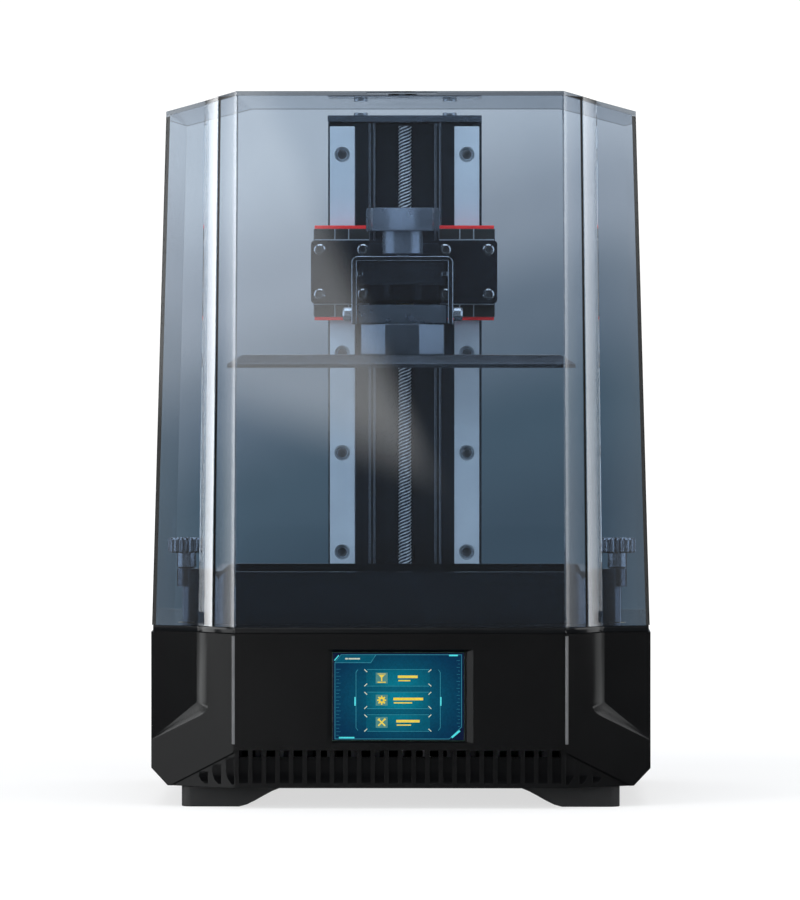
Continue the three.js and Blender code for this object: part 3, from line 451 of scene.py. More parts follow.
brass = metal("brass", (0.50, 0.35, 0.13), 0.3, spread=0.03)
red_seal = surface("red_seal", (0.85, 0.022, 0.022), 0.42, spread=0.03)
circuit = surface("circuit_green", (0.012, 0.07, 0.04), 0.4, cloud=220, vary=0.35, grain=900, depth=0.00001,
                  spread=0.06)
lcd_black = surface("lcd_black", (0.010, 0.011, 0.014), 0.08)
lens_finish = surface("lens_array", (0.55, 0.60, 0.64), 0.15, grain=180, depth=0.0001, spread=0.06)
film_finish = surface("film_sheet", (0.42, 0.45, 0.48), 0.16, grain=60, depth=0.00002, spread=0.05)
glass_black = surface("display_glass", (0.006, 0.007, 0.012), 0.07)
socket_white = surface("socket_white", (0.5, 0.52, 0.55), 0.4, depth=0.000005, spread=0.06)


def thread_with_painted_shade():
    """Bright steel crests over dark roots, told apart by the distance from the screw's axis: painted shade in
    the roots, with some grease.
    """
    middle = box_mm("lead_screw")[2] * MM
    material, tree, output = new_tree("thread_steel")
    source = place(tree)
    x, y, z = split(tree, source)
    reach = distance(tree, calculate(tree, "SUBTRACT", x, middle.x), calculate(tree, "SUBTRACT", y, middle.y))
    # Painted shade: the thread roots are dark and the crests bright.
    painted_root_shade_mask = span(tree, reach, 0.0, 1.0, 3.2 * MM, 3.85 * MM, True)
    shade = blend_colour(tree, painted_root_shade_mask, (0.05, 0.055, 0.065), (0.86, 0.90, 0.94))
    wear = span(tree, noise(tree, source, 300, 2), 0.2, 0.34)
    principled(tree, output, Base_Color=shade, Roughness=wear, Metallic=0.3)
    return material


thread_steel = thread_with_painted_shade()


def cover_acrylic():
    """Tinted clear acrylic that lamps shine through, with a painted dark line of shade along the rim of its
    top sheet.
    """
    material, tree, output = new_tree("cover_acrylic")
    source = place(tree)
    clouds = noise(tree, source, 14, 2)
    tint = blend_colour(tree, span(tree, clouds, 0, 1), (0.62, 0.70, 0.79), (0.66, 0.735, 0.82))
    x, y, z = split(tree, source)
    past = calculate(tree, "SUBTRACT", calculate(tree, "ABSOLUTE", x), CROWN_HALVES[0] * MM)
    overhang = calculate(tree, "MAXIMUM", past, 0.0)
    level = plus(tree, z, times(tree, overhang, CROWN_FALL))
    facing = tree.nodes.new("ShaderNodeNewGeometry").outputs["Normal"]
    upright = calculate(tree, "ABSOLUTE", split(tree, facing)[2])
    # Painted shade: the top sheet's rim, on its upright faces, turns to a dark tint.
    rim = times(tree, span(tree, level, 0.0, 1.0, 0.4108, 0.4116, True),
                span(tree, upright, 1.0, 0.0, 0.80, 0.97, True))
    glass = principled(tree, output, Transmission_Weight=1.0, Ior=1.49,
                       Base_Color=blend_colour(tree, rim, tint, (0.20, 0.24, 0.29)),
                       Roughness=span(tree, noise(tree, source, 5, 1), 0.0, 0.012))
    clear = tree.nodes.new("ShaderNodeBsdfTransparent")
    clear.inputs["Color"].default_value = (0.80, 0.86, 0.92, 1)
    path = tree.nodes.new("ShaderNodeLightPath")
    mix = tree.nodes.new("ShaderNodeMixShader")
    tree.links.new(path.outputs["Is Shadow Ray"], mix.inputs["Fac"])
    tree.links.new(glass.outputs["BSDF"], mix.inputs[1])
    tree.links.new(clear.outputs["BSDF"], mix.inputs[2])
    tree.links.new(mix.outputs["Shader"], output.inputs["Surface"])
    return material


acrylic = cover_acrylic()

# ---- CAD nodes
RAIL_X = 37.6
RAIL_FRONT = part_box("rail_left")[0].y / MM
RAIL_SCREWS = [142 + 60 * i for i in range(5)]
PLATE_SCREWS = [(x, z) for x in (-50.7, -24.7, 24.7, 50.7) for z in (297.5, 324.3)]
CARRIAGE_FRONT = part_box("carriage_plate")[0].y / MM


def rail_bores(x):
    def build(built):
        for z in RAIL_SCREWS:
            add_turned(built, [(4.5, -1), (4.5, 4.2)], (x, RAIL_FRONT, z), (0, 1, 0), 32)
    return build


def plate_bores(built):
    for x, z in PLATE_SCREWS:
        add_turned(built, [(4.1, -1), (4.1, 3.4)], (x, CARRIAGE_FRONT, z), (0, 1, 0), 32)


# Each finish and edge width in mm, with the CAD nodes that share them.
DRESSED = (
    (pan_black, 0.3, "base_pan"),
    (deck_finish, 0.6, "deck_plate"),
    (brass, 0.3, "deck_insert_left deck_insert_right lead_nut"),
    (steel, 0.5, "top_screw_left top_screw_right"),
    (steel, 0.2, "motor_shaft"),
    (steel, 0.15, "usb_port"),
    (anodised, 0.5, "guide_block_left guide_block_right column_foot"),
    (anodised, 1.0, "z_motor"),
    (red_seal, 0.3, "seal_left_top seal_left_bottom seal_right_top seal_right_bottom"),
    (lcd_black, 0.2, "lcd_glass lcd_panel"),
    (glass_black, 0.2, "touch_glass"),
    (lens_finish, 0.5, "light_lens"),
    (inner_black, 0.5, "light_shroud power_rocker"),
    (inner_black, 0.4, "fan_frame switch_bezel"),
    (inner_black, 0.3, "fan_rotor power_inlet limit_switch"),
    (circuit, 0.1, "led_board"),
    (circuit, 0.2, "mainboard display_module"),
    (aluminium, 0.3, "light_heatsink film_clamp_ring"),
    (aluminium, 0.5, "shaft_coupler nut_block"),
    (column_black, 0.35, "z_column"),
    (bar_slate, 0.6, "column_top_plate"),
    (bracket_black, 0.7, "platform_arm"),
    (neck_finish, 0.5, "plate_neck"),
    (plate_finish, 0.4, "build_plate"),
    (vat_black, 0.5, "vat_frame"),
    (film_finish, 0, "vat_film"),
    (rubber, 0.5, "foot_front_left foot_front_right foot_rear_left foot_rear_right"),
)
for material, edge, names in DRESSED:
    for name in names.split():
        dress(name, material, edge)
dress("base_shell", shell_black, 1.0, 3)
for side, x in (("left", -RAIL_X), ("right", RAIL_X)):
    dress(f"rail_{side}", rail_steel, 0.4, cut=cutter(f"rail_bores_{side}", "base", rail_bores(x)))
dress("carriage_plate", anodised, 0.6, cut=cutter("plate_bores", "carriage", plate_bores))
dress("head_bracket", bracket_black, 0.7, 3, clamp=False)
dress("tilt_bar", bar_slate, 0.9, 3, clamp=False)
dress("cover", acrylic, 1.2, 3, 14, flatten=0.3)


# ---- lead screw
def lead_screw():
    """A four-start trapezoidal thread of 8 mm diameter and 2 mm pitch, with chamfered ends."""
    low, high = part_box("lead_screw")
    bottom, top = low.z / MM, high.z / MM
    centre = ((low.x + high.x) / 2 / MM, (low.y + high.y) / 2 / MM)
    radius, root, lead, starts = 4.0, 3.05, 8.0, 4
    around, step = 24, 0.25
    built = bmesh.new()

    def flat_end(z):
        return [Vector((centre[0] + a, centre[1] + b, z)) * MM for a, b in circle(2.6, around)]

    loops = [flat_end(bottom)]
    rows = int((top - bottom - 0.8) / step)
    for i in range(rows + 1):
        z = bottom + 0.4 + i * step
        loop = []
        for k in range(around):
            angle = 2 * math.pi * k / around
            phase = ((z / lead - angle / (2 * math.pi)) * starts) % 1.0
            height = min(1.0, max(0.0, (0.5 - abs(phase - 0.5)) * 3.2 - 0.5))
            r = root + (radius - root) * height
            loop.append(Vector((centre[0] + r * math.cos(angle), centre[1] + r * math.sin(angle), z)) * MM)
        loops.append(loop)
    loops.append(flat_end(top))
    add_loops(built, loops)
    piece = finish_mesh(built, "lead_screw_thread", thread_steel, "screw_drive", sharp=50)
    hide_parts("lead_screw")


lead_screw()


# ---- clamp knob
def clamp_knob():
    low, high, middle = box_mm("clamp_knob")
    origin = (middle.x, -21.0, 0)
    top, bottom, boss_bottom, stem = high.z, 334.4, 320.6, low.z
    radius, scallop, lobes = 22.4, 3.4, 7
    steps = lobes * 16
    ring = []
    for i in range(steps):
        turn = 2 * math.pi * i / steps
        dip = abs(math.sin(turn * lobes / 2)) ** 0.75
        reach = (radius - scallop * dip) / radius
        ring.append((reach * math.sin(turn), -reach * math.cos(turn)))
    built = bmesh.new()
    rows = ((radius - 1.0, bottom), (radius - 0.3, bottom + 0.3), (radius, bottom + 1.0),
            (radius, top - 1.2), (radius - 0.4, top - 0.35), (radius - 1.3, top), (radius - 4.5, top),
            (radius - 5.2, top - 0.7))
    add_shaped(built, ring, rows, *origin[:2])
    add_turned(built, [(11.2, boss_bottom), (12, boss_bottom + 0.8), (12, bottom + 0.3)], origin, UP, 48)
    add_turned(built, [(3.4, stem), (4, stem + 0.6), (4, boss_bottom + 0.2)], origin, UP, 32)
    piece = finish_mesh(built, "clamp_knob_scalloped", slate, "knob", sharp=38)
    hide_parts("clamp_knob")


clamp_knob()


# ---- thumb screws
def thumb_screw(side):
    low, high, middle = box_mm(f"thumb_screw_{side}")
    origin = (middle.x, middle.y, 0)
    top, bottom, tip = high.z, 145.6, low.z
    teeth, radius = 20, 10.9
    steps = teeth * 6
    ring = []
    for i in range(steps):
        turn = 2 * math.pi * i / steps
        wave = 0.5 - 0.5 * math.cos(turn * teeth)
        reach = 1 - 0.10 * (wave ** 1.6)
        ring.append((reach * math.cos(turn), reach * math.sin(turn)))
    built = bmesh.new()
    rows = ((radius - 1.0, bottom), (radius, bottom + 0.9), (radius, top - 0.9), (radius - 0.9, top),
            (radius - 3.2, top), (radius - 3.8, top - 0.5))
    add_shaped(built, ring, rows, *origin[:2])
    add_turned(built, [(4.9, 136.5), (5.7, 137.4), (5.7, bottom + 0.3)], origin, UP, 40)
    add_turned(built, [(1.8, tip), (2.5, tip + 0.8), (2.5, 136.7)], origin, UP, 24)
    piece = finish_mesh(built, f"thumb_screw_{side}_knurled", thumb_finish, f"thumb_{side}")
    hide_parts(f"thumb_screw_{side}")


thumb_screw("left")
thumb_screw("right")


# ---- clamp bolts
def clamp_bolt(side):
    low, high, middle = box_mm(f"clamp_bolt_{side}")
    sign = -1 if side == "left" else 1
    x, y, z = middle
    inner, outer = sorted((abs(low.x), abs(high.x)))
    built = bmesh.new()
    add_socket_screw(built, (sign * 30.3, y, z), (sign, 0, 0), 4.1, outer - 30.3)
    add_turned(built, [(1.8, inner), (2.2, inner + 0.5), (2.2, 30.6)], (0, y, z), (sign, 0, 0), 24)
    piece = finish_mesh(built, f"clamp_bolt_{side}_socket", steel, "build_platform")
    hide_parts(f"clamp_bolt_{side}")


clamp_bolt("left")
clamp_bolt("right")


# ---- small screws
for side, x in (("left", -RAIL_X), ("right", RAIL_X)):
    screw_group(f"rail_screws_{side}", dark_steel, "base", [(x, RAIL_FRONT + 3.6, z) for z in RAIL_SCREWS],
                (0, -1, 0), 3.75, 3.3, 0.5)
screw_group("carriage_screws", dark_steel, "carriage", [(x, CARRIAGE_FRONT + 2.9, z) for x, z in PLATE_SCREWS],
            (0, -1, 0), 3.65, 3.6, 0.4)


# ---- guide block end caps
def block_caps(side):
    low, high, middle = box_mm(f"guide_block_{side}")
    x, front = middle.x, low.y
    plate_low, plate_high, plate_middle = box_mm("carriage_plate")
    caps, strips = bmesh.new(), bmesh.new()
    for bottom, top in ((plate_high.z, high.z), (low.z, plate_low.z)):
        # The pale strip behind the caps shows round their edges as a painted highlight outline.
        add_block(strips, x - 16.4, x + 16.4, front - 0.25, front + 0.1, bottom + 0.05, top - 0.1)
        inset = (0.75, 0.15) if bottom > plate_middle.z else (0.15, 0.75)
        z0, z1 = bottom + inset[0], top - inset[1]
        for a, b in ((-16.6, -4.5), (-3.85, 3.85), (4.5, 16.6)):
            add_block(caps, x + a, x + b, front - 0.9, front + 0.05, z0, z1)
    finish_mesh(strips, f"block_cap_outlines_{side}", cap_outline_highlight, "carriage")
    finish_mesh(caps, f"block_caps_{side}", inner_black, "carriage", 0.25 * MM)


block_caps("left")
block_caps("right")


# ---- the base's front folds
def rounded_folds():
    """The folds between the front and the cheeks, rounded by a slim bead that stands just proud of each; the
    bead's pale colour is a painted highlight along each fold.
    """
    corners = [nodes["base_shell"].matrix_world @ corner.co for corner in nodes["base_shell"].data.vertices]
    front = min(corner.y for corner in corners)
    upper = [corner for corner in corners if corner.y < front + 0.00005 and corner.z > 0.05]
    half, top = max(corner.x for corner in upper), max(corner.z for corner in upper)
    cheek_turn, vent_rim, top_gap = 33.7, 0.0374, 0.0012
    lean, radius, proud = math.radians(cheek_turn / 2), 1.2 * MM, 0.2 * MM
    inward = radius / math.cos(lean) - proud
    built = bmesh.new()
    for sign in (-1, 1):
        x, y = sign * (half - inward * math.sin(lean)), front + inward * math.cos(lean)
        levels = (vent_rim, top - top_gap)
        add_loops(built, [[(x + a, y + b, z) for a, b in circle(radius, 40)] for z in levels])
    finish_mesh(built, "rounded_folds", fold_painted_highlight, "base")


rounded_folds()


# ---- column slot lips
def slot_lips():
    """The lips either side of the column's screw channel; their pale colour, brightest on the rounded edges,
    is a painted highlight.
    """
    low, high, middle = box_mm("z_column")
    front = low.y
    built = bmesh.new()
    for sign in (-1, 1):
        for near, far in ((18.0, 19.1), (20.9, 22.0)):
            x0, x1 = sorted((sign * near, sign * far))
            add_block(built, x0, x1, front - 0.6, front + 0.05, low.z + 0.5, high.z - 0.3)
    finish_mesh(built, "slot_lips", lip_with_painted_highlight, "base", 0.45 * MM)


slot_lips()


# ---- display picture
def display():
    """The lit menu, in thin layers on the glass: frame, tab, rulers, brackets and three buttons."""
    low, high, middle = box_mm("touch_glass")
    wide, tall = high.x - low.x, high.z - low.z
    centre = (middle.x * MM, middle.z * MM)
    layer_step, sunk, proud = 0.06, 0.04, 0.01
    button_drops = [0.257 * row for row in range(3)]
    entry_drops = [0.2525 * row for row in range(3)]

    def at(u, v):
        return low.x + u * wide, high.z - v * tall

    def sheet(built, corners, layer):
        level = low.y - layer_step * layer
        add_facing(built, corners, level - sunk, level + proud)

    def shape(built, points, layer):
        sheet(built, [at(u, v) for u, v in points], layer)

    def bar(built, u0, v0, u1, v1, layer):
        shape(built, [(u0, v1), (u1, v1), (u1, v0), (u0, v0)], layer)

    def stroke(built, points, width, layer):
        """A line of even width along points, each stretch its own thin solid."""
        for (u0, v0), (u1, v1) in zip(points, points[1:]):
            a, b = Vector(at(u0, v0)), Vector(at(u1, v1))
            along = (b - a).normalized()
            side = Vector((-along.y, along.x)) * width / 2
            a, b = a - along * width * 0.3, b + along * width * 0.3
            sheet(built, [tuple(c) for c in (a + side, a - side, b - side, b + side)], layer)

    reach = (wide * 0.62 * MM, tall * 0.72 * MM)
    night = lit("display_night", (0.000, 0.016, 0.050), (0.002, 0.007, 0.030), centre, reach)
    field = lit("display_field", (0.000, 0.100, 0.160), (0.000, 0.026, 0.072), centre, reach)
    line = lit("display_line", (0.030, 0.30, 0.38), (0.03, 0.22, 0.30), centre, reach)
    near = (wide * 0.3 * MM, tall * 0.5 * MM)
    button = lit("display_button", (0.000, 0.19, 0.27), (0.000, 0.085, 0.14), centre, near)
    accent = lit("display_accent", (0.10, 0.75, 0.80), (0.08, 0.70, 0.76), centre, reach)
    spark = lit("display_spark", (0.55, 0.62, 0.50), (0.55, 0.62, 0.50), centre, reach)
    tile = lit("display_tile", (0.08, 0.24, 0.23), (0.08, 0.24, 0.23), centre, reach)
    gold = lit("display_gold", (0.85, 0.62, 0.06), (0.78, 0.66, 0.14), centre, reach)

    def piece(name, build, material):
        built = bmesh.new()
        build(built)
        finish_mesh(built, name, material, "base")

    piece("display_backdrop", lambda b: bar(b, 0.004, 0.006, 0.996, 0.994, 0), night)
    outline = [(0.018, 0.983), (0.018, 0.115), (0.065, 0.024), (0.98, 0.024), (0.98, 0.845), (0.886, 0.983)]
    piece("display_field", lambda b: shape(b, outline, 1), field)

    def lines(built):
        stroke(built, [*outline, outline[0]], 0.34, 2)
        stroke(built, [(0.33, 0.024), (0.29, 0.115), (0.018, 0.115)], 0.34, 2)
        bracket = [(0.192, 0.195), (0.178, 0.225), (0.178, 0.855), (0.192, 0.885)]
        stroke(built, bracket, 0.3, 2)
        stroke(built, [(0.996 - u, v) for u, v in bracket], 0.3, 2)
        for i in range(20):
            v = 0.19 + i * 0.0395
            long = 0.032 if i % 2 == 0 else 0.02
            stroke(built, [(0.028, v), (0.028 + long, v)], 0.16, 2)
        for i in range(10):
            v = 0.09 + i * 0.079
            stroke(built, [(0.967 - 0.024, v), (0.967, v)], 0.16, 2)
            stroke(built, [(0.967 - 0.014, v + 0.04), (0.967, v + 0.04)], 0.16, 2)
        for drop in button_drops:
            for v in (0.193 + drop, 0.381 + drop):
                stroke(built, [(0.262, v), (0.733, v)], 0.26, 3)

    piece("display_lines", lines, line)

    corners = [(0.022, 0.109), (0.288, 0.109), (0.324, 0.03), (0.066, 0.03)]
    piece("display_tab", lambda b: shape(b, corners, 2), button)

    def buttons(built):
        for drop in button_drops:
            bar(built, 0.256, 0.2 + drop, 0.739, 0.374 + drop, 2)

    piece("display_buttons", buttons, button)

    def accents(built):
        stroke(built, [(0.016, 0.088), (0.046, 0.034)], 0.6, 3)
        stroke(built, [(0.888, 0.032), (0.948, 0.032)], 0.9, 3)
        stroke(built, [(0.052, 0.968), (0.162, 0.968)], 0.9, 3)
        stroke(built, [(0.908, 0.962), (0.963, 0.892)], 1.1, 3)
        stroke(built, [(0.171, 0.51), (0.171, 0.6)], 0.8, 3)
        stroke(built, [(0.822, 0.51), (0.822, 0.6)], 0.8, 3)

    piece("display_accents", accents, accent)

    def sparks(built):
        for drop in button_drops:
            v0, v1 = 0.193 + drop, 0.381 + drop
            for u, inward in ((0.243, 1), (0.748, -1)):
                stroke(built, [(u, v0), (u + 0.018 * inward, v0 + 0.026)], 0.5, 4)
                stroke(built, [(u, v1), (u + 0.018 * inward, v1 - 0.026)], 0.5, 4)
        stroke(built, [(0.1, 0.07), (0.112, 0.07)], 0.9, 4)
        stroke(built, [(0.124, 0.07), (0.205, 0.07)], 0.8, 4)

    piece("display_sparks", sparks, spark)

    def tiles(built):
        for drop in entry_drops:
            bar(built, 0.328, 0.228 + drop, 0.418, 0.35 + drop, 3)

    piece("display_tiles", tiles, tile)

    def icons(built):
        scale = wide * 0.031

        def draw(entry, points):
            x, z = at(0.373, 0.289 + entry_drops[entry])
            sheet(built, [(x + a * scale, z + b * scale) for a, b in points], 4)

        def wedge(turn, near, near_half, far, far_half):
            """Four corners from the near radius to the far one, each radius with its own half angle."""
            marks = ((near, -near_half), (far, -far_half), (far, far_half), (near, near_half))
            return [(r * math.cos(turn + half), r * math.sin(turn + half)) for r, half in marks]

        draw(0, [(-0.15, -0.8), (0.15, -0.8), (0.15, 0.1), (0.75, 0.75), (-0.75, 0.75), (-0.15, 0.1)])
        draw(0, [(-1.0, -1.15), (1.0, -1.15), (1.0, -0.92), (-1.0, -0.92)])
        draw(0, [(-1.0, 0.9), (1.0, 0.9), (1.0, 1.06), (-1.0, 1.06)])
        teeth = 8
        half = math.pi / teeth
        for i in range(teeth):
            turn = 2 * math.pi * i / teeth
            draw(1, wedge(turn, 0.34, half, 0.78, half))
            draw(1, wedge(turn, 0.76, half * 0.6, 1.1, half * 0.42))
        for flip in (1, -1):
            draw(2, [(-0.72 * flip, -0.95), (-0.95 * flip, -0.72), (0.55 * flip, 0.8), (0.8 * flip, 0.55)])
        draw(2, [(0.45, 0.75), (0.75, 0.45), (1.05, 0.75), (0.75, 1.05)])
        draw(2, [(-0.9, 0.35), (-0.35, 0.9), (-0.62, 1.05), (-1.05, 0.62)])

    piece("display_icons", icons, gold)

    def words(built):
        """Plain bars where a menu would name its entries."""
        for drop, (a, b) in zip(entry_drops, ((0.502, 0.64), (0.468, 0.682), (0.49, 0.655))):
            v = 0.289 + drop
            stroke(built, [(a, v - 0.014), (b, v - 0.014)], 1.5, 4)
            stroke(built, [(a, v + 0.03), (a + (b - a) * 0.62, v + 0.03)], 0.7, 4)

    piece("display_words", words, gold)


display()


# ---- fittings seen from other sides
pan_foot = box_mm("base_pan")[0].z + 0.2
pan_spots = [(x, y, pan_foot) for x in (-118, -40, 40, 118) for y in (-60, 20, 100)]
screw_group("pan_screws", dark_steel, "base", pan_spots, (0, 0, -1), 3.0, 1.9, 0.4)
fan = box_mm("fan_frame")[2]
fan_spots = [(fan.x + dx, cad_box[1].y / MM - 1.0, fan.z + dz) for dx in (-25, 25) for dz in (-25, 25)]
screw_group("fan_screws", dark_steel, "base", fan_spots, (0, 1, 0), 2.7, 0.95, 0.6)


def rocker_marks():
    """The line and ring of an on and off switch, lying on the rocker's two faces."""
    low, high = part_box("power_rocker")
    x, z = (low.x + high.x) / 2, (low.z + high.z) / 2
    node = nodes["power_rocker"]
    faces = [f for f in node.data.polygons if f.normal.y > 0.8]
    built = bmesh.new()
    for upper in (True, False):
        face = max((f for f in faces if (f.center.z > z) == upper), key=lambda f: f.area)
        normal = face.normal.copy()
        up = (Vector((0, 0, 1)) - normal * normal.z).normalized()
        side = up.cross(normal)
        share = 0.75 if upper else 0.25
        middle = Vector((x, face.center.y, low.z + (high.z - low.z) * share))
        middle += normal * ((face.center - middle).dot(normal))

        def spot(a, b, h):
            return middle + (side * a + up * b + normal * h) * MM

        if upper:
            outline = [(-0.28, -1.5), (0.28, -1.5), (0.28, 1.5), (-0.28, 1.5)]
            add_loops(built, [[spot(a, b, h) for a, b in outline] for h in (-0.1, 0.06)])
        else:
            outer, inner = circle(1.5, 32), circle(0.95, 32)
            rings = [[spot(a, b, h) for a, b in ring] for ring, h in
                     ((inner, -0.1), (outer, -0.1), (outer, 0.06), (inner, 0.06))]
            add_loops(built, [*rings, rings[0]], (False, False))
    finish_mesh(built, "rocker_marks", socket_white, "rocker")


def usb_tongue():
    low, high, middle = box_mm("usb_port")
    built = bmesh.new()
    add_block(built, low.x + 1.5, high.x - 1.2, middle.y - 5.6, middle.y + 5.6, middle.z + 0.5, middle.z + 2.3)
    finish_mesh(built, "usb_tongue", socket_white, "base", 0.15 * MM)


def lcd_border():
    """The printed black border round the display window in the deck."""
    low, high, middle = box_mm("lcd_glass")
    built = bmesh.new()

    def loop(inset, z):
        x0, x1, y0, y1 = low.x + inset, high.x - inset, low.y + inset, high.y - inset
        return [Vector((x, y, high.z + z)) * MM for x, y in ((x0, y0), (x1, y0), (x1, y1), (x0, y1))]

    rings = [loop(9, -0.05), loop(0.3, -0.05), loop(0.3, 0.04), loop(9, 0.04)]
    add_loops(built, [*rings, rings[0]], (False, False))
    finish_mesh(built, "lcd_border", inner_black, "base")


def led_array():
    """Light emitters in rows on the lamp board."""
    low, high, middle = box_mm("led_board")
    top = high.z
    built = bmesh.new()
    for i in range(8):
        for j in range(5):
            origin = (middle.x + (i - 3.5) * 23, middle.y + (j - 2) * 23, 0)
            add_turned(built, [(3.2, top - 0.05), (3.2, top + 0.5), (1.8, top + 1.1)], origin, UP, 16)
    finish_mesh(built, "led_emitters", lens_finish, "base")


rocker_marks()
usb_tongue()
lcd_border()
led_array()

# Screws round the motor's face, seen when the deck is off, and either side of the column's foot.
low, high, middle = box_mm("z_motor")
motor_spots = [(middle.x + dx, middle.y + dy, low.z + 0.2) for dx in (-15.5, 15.5) for dy in (-15.5, 15.5)]
screw_group("motor_screws", steel, "base", motor_spots, (0, 0, -1), 2.8, 2.2, 0.4)
low, high, middle = box_mm("column_foot")
seat = box_mm("z_column")[0].z - 0.1
foot_spots = [(x, y, seat) for x in (low.x + 6, high.x - 6) for y in (84, 116)]
screw_group("foot_bolts", steel, "base", foot_spots, UP, 4.2, 4.2, 0.3)


# ---- studio
PALE_LIGHT = (0.97, 0.99, 1.0)
SOFT_LIGHT = (0.98, 0.99, 1.0)


def emission(name, build):
    """An emission-only material. build gives the strength socket from the tree, and a colour."""
    material, tree, output = new_tree(name)
    shader = tree.nodes.new("ShaderNodeEmission")
    strength, colour = build(tree)
    feed(tree, shader.inputs["Strength"], strength)
    feed(tree, shader.inputs["Color"], (*colour, 1) if isinstance(colour, tuple) else colour)
    tree.links.new(shader.outputs["Emission"], output.inputs["Surface"])
    return material


def stage_mesh(name, corners, faces, material, see):
    """A thin stage mesh in metres, seen only by the kinds of ray named."""
    mesh = bpy.data.meshes.new(name)
    mesh.from_pydata([tuple(c) for c in corners], [], faces)
    mesh.materials.append(material)
    piece = bpy.data.objects.new(name, mesh)
    scene.collection.objects.link(piece)
    piece.visible_camera = "camera" in see
    piece.visible_diffuse = "diffuse" in see
    piece.visible_glossy = "glossy" in see
    piece.visible_transmission = "transmission" in see
    piece.visible_shadow = "shadow" in see
    piece.visible_volume_scatter = False
    return piece


def mirror_card(name, corners, build):
    """A four-cornered lit card that only mirrors see."""
    return stage_mesh(name, corners, [(0, 1, 2, 3)], emission(name + "_light", build), ("glossy",))


def front_card(name, x0, x1, z0, z1, build):
    """A mirror card that stands five metres in front of the origin."""
    mirror_card(name, [(x0, -5, z0), (x1, -5, z0), (x1, -5, z1), (x0, -5, z1)], build)


def floor():
    """White, and lifted for the camera; the lift is weaker near the object, a painted shadow round it that
    joins the soft contact shadow.
    """
    material, tree, output = new_tree("floor_white")
    diffuse = tree.nodes.new("ShaderNodeBsdfDiffuse")
    source = place(tree)
    grain = noise(tree, source, 6, 2)
    tree.links.new(blend_colour(tree, span(tree, grain, 0, 1), (0.27, 0.27, 0.27), (0.28, 0.28, 0.28)),
                   diffuse.inputs["Color"])
    x, y, z = split(tree, source)
    # Painted shadow: the camera's lift falls from 0.95 far out to 0.66 near the object.
    lift_with_painted_shadow = span(tree, distance(tree, x, y), 0.66, 0.95, 0.35, 1.1, True)
    glow = tree.nodes.new("ShaderNodeEmission")
    path = tree.nodes.new("ShaderNodeLightPath")
    tree.links.new(times(tree, path.outputs["Is Camera Ray"], lift_with_painted_shadow), glow.inputs["Strength"])
    total = tree.nodes.new("ShaderNodeAddShader")
    tree.links.new(diffuse.outputs[0], total.inputs[0])
    tree.links.new(glow.outputs[0], total.inputs[1])
    tree.links.new(total.outputs[0], output.inputs["Surface"])
    stage_mesh("floor", [(-9, -9, 0), (9, -9, 0), (9, 9, 0), (-9, 9, 0)], [(0, 1, 2, 3)], material,
               ("camera", "diffuse", "transmission", "shadow"))


def stops(tree, value, marks):
    """A smooth ramp through (position, colour) marks."""
    node = tree.nodes.new("ShaderNodeValToRGB")
    node.color_ramp.interpolation = "EASE"
    elements = node.color_ramp.elements
    elements[0].position, elements[0].color = marks[0][0], (*marks[0][1], 1)
    elements[1].position, elements[1].color = marks[-1][0], (*marks[-1][1], 1)
    for position, colour in marks[1:-1]:
        element = elements.new(position)
        element.color = (*colour, 1)
    tree.links.new(value, node.inputs["Fac"])
    return node.outputs["Color"]


def drum():
    """A round screen seen only through the cover: a graded backdrop behind, pale flanks, a dim front."""
    radius = 1.2

    def build(tree):
        x, y, z = split(tree, place(tree))
        ahead = calculate(tree, "DIVIDE", times(tree, y, -1.0), radius)
        height = plus(tree, z, times(tree, calculate(tree, "SUBTRACT", 0.1, x), 0.28))
        backdrop = stops(tree, height, [(0.13, (0.095, 0.140, 0.168)), (0.21, (0.128, 0.185, 0.215)),
                                        (0.30, (0.300, 0.335, 0.365)), (0.37, (0.580, 0.580, 0.590)),
                                        (0.47, (1.000, 0.970, 0.940))])
        flank = times(tree, span(tree, ahead, 1.0, 0.0, 0.45, 0.75, True),
                      span(tree, ahead, 0.0, 1.0, -0.5, -0.2, True))
        sides = span(tree, flank, 0.14, 1.3, 0.0, 1.0)
        rear = span(tree, ahead, 1.0, 0.0, -0.95, -0.85, True)
        tone = tree.nodes.new("ShaderNodeCombineColor")
        for socket, share in zip(tone.inputs, (0.96, 1.0, 1.05)):
            tree.links.new(times(tree, sides, share), socket)
        return 1.0, blend_colour(tree, rear, tone.outputs[0], backdrop)

    count = 64
    verts = [(a, b, z) for a, b in circle(radius, count) for z in (-0.1, 1.6)]
    pairs = [(2 * i, 2 * ((i + 1) % count)) for i in range(count)]
    faces = [(a, b, b + 1, a + 1) for a, b in pairs]
    stage_mesh("drum", verts, faces, emission("drum_light", build), ("transmission",))


def veil_card():
    """A card in front whose soft slanted edge is mirrored across the cover's front panel."""
    def build(tree):
        x, y, z = split(tree, place(tree))
        slant = plus(tree, x, times(tree, z, 0.42))
        inside = span(tree, slant, 1.0, 0.0, 0.095, 0.155, True)
        lower = plus(tree, z, times(tree, x, 0.34))
        above = span(tree, lower, 0.0, 1.0, 0.33, 0.43, True)
        level = span(tree, z, 3.7, 2.2, 0.48, 0.75)
        bright = times(tree, times(tree, inside, above), level)
        return plus(tree, bright, 0.16), PALE_LIGHT

    front_card("veil_card", -0.42, 0.42, 0.0, 1.2, build)


def crown_creases():
    plan = [(CROWN_HALVES[0], CROWN_FRONT)]
    for (x0, y0), (x1, y1), half in zip(FACET_FOOT, FACET_FOOT[1:], CROWN_HALVES[1:]):
        plan.append((half, plan[-1][1] + (half - plan[-1][0]) * (y1 - y0) / (x1 - x0)))
    return plan


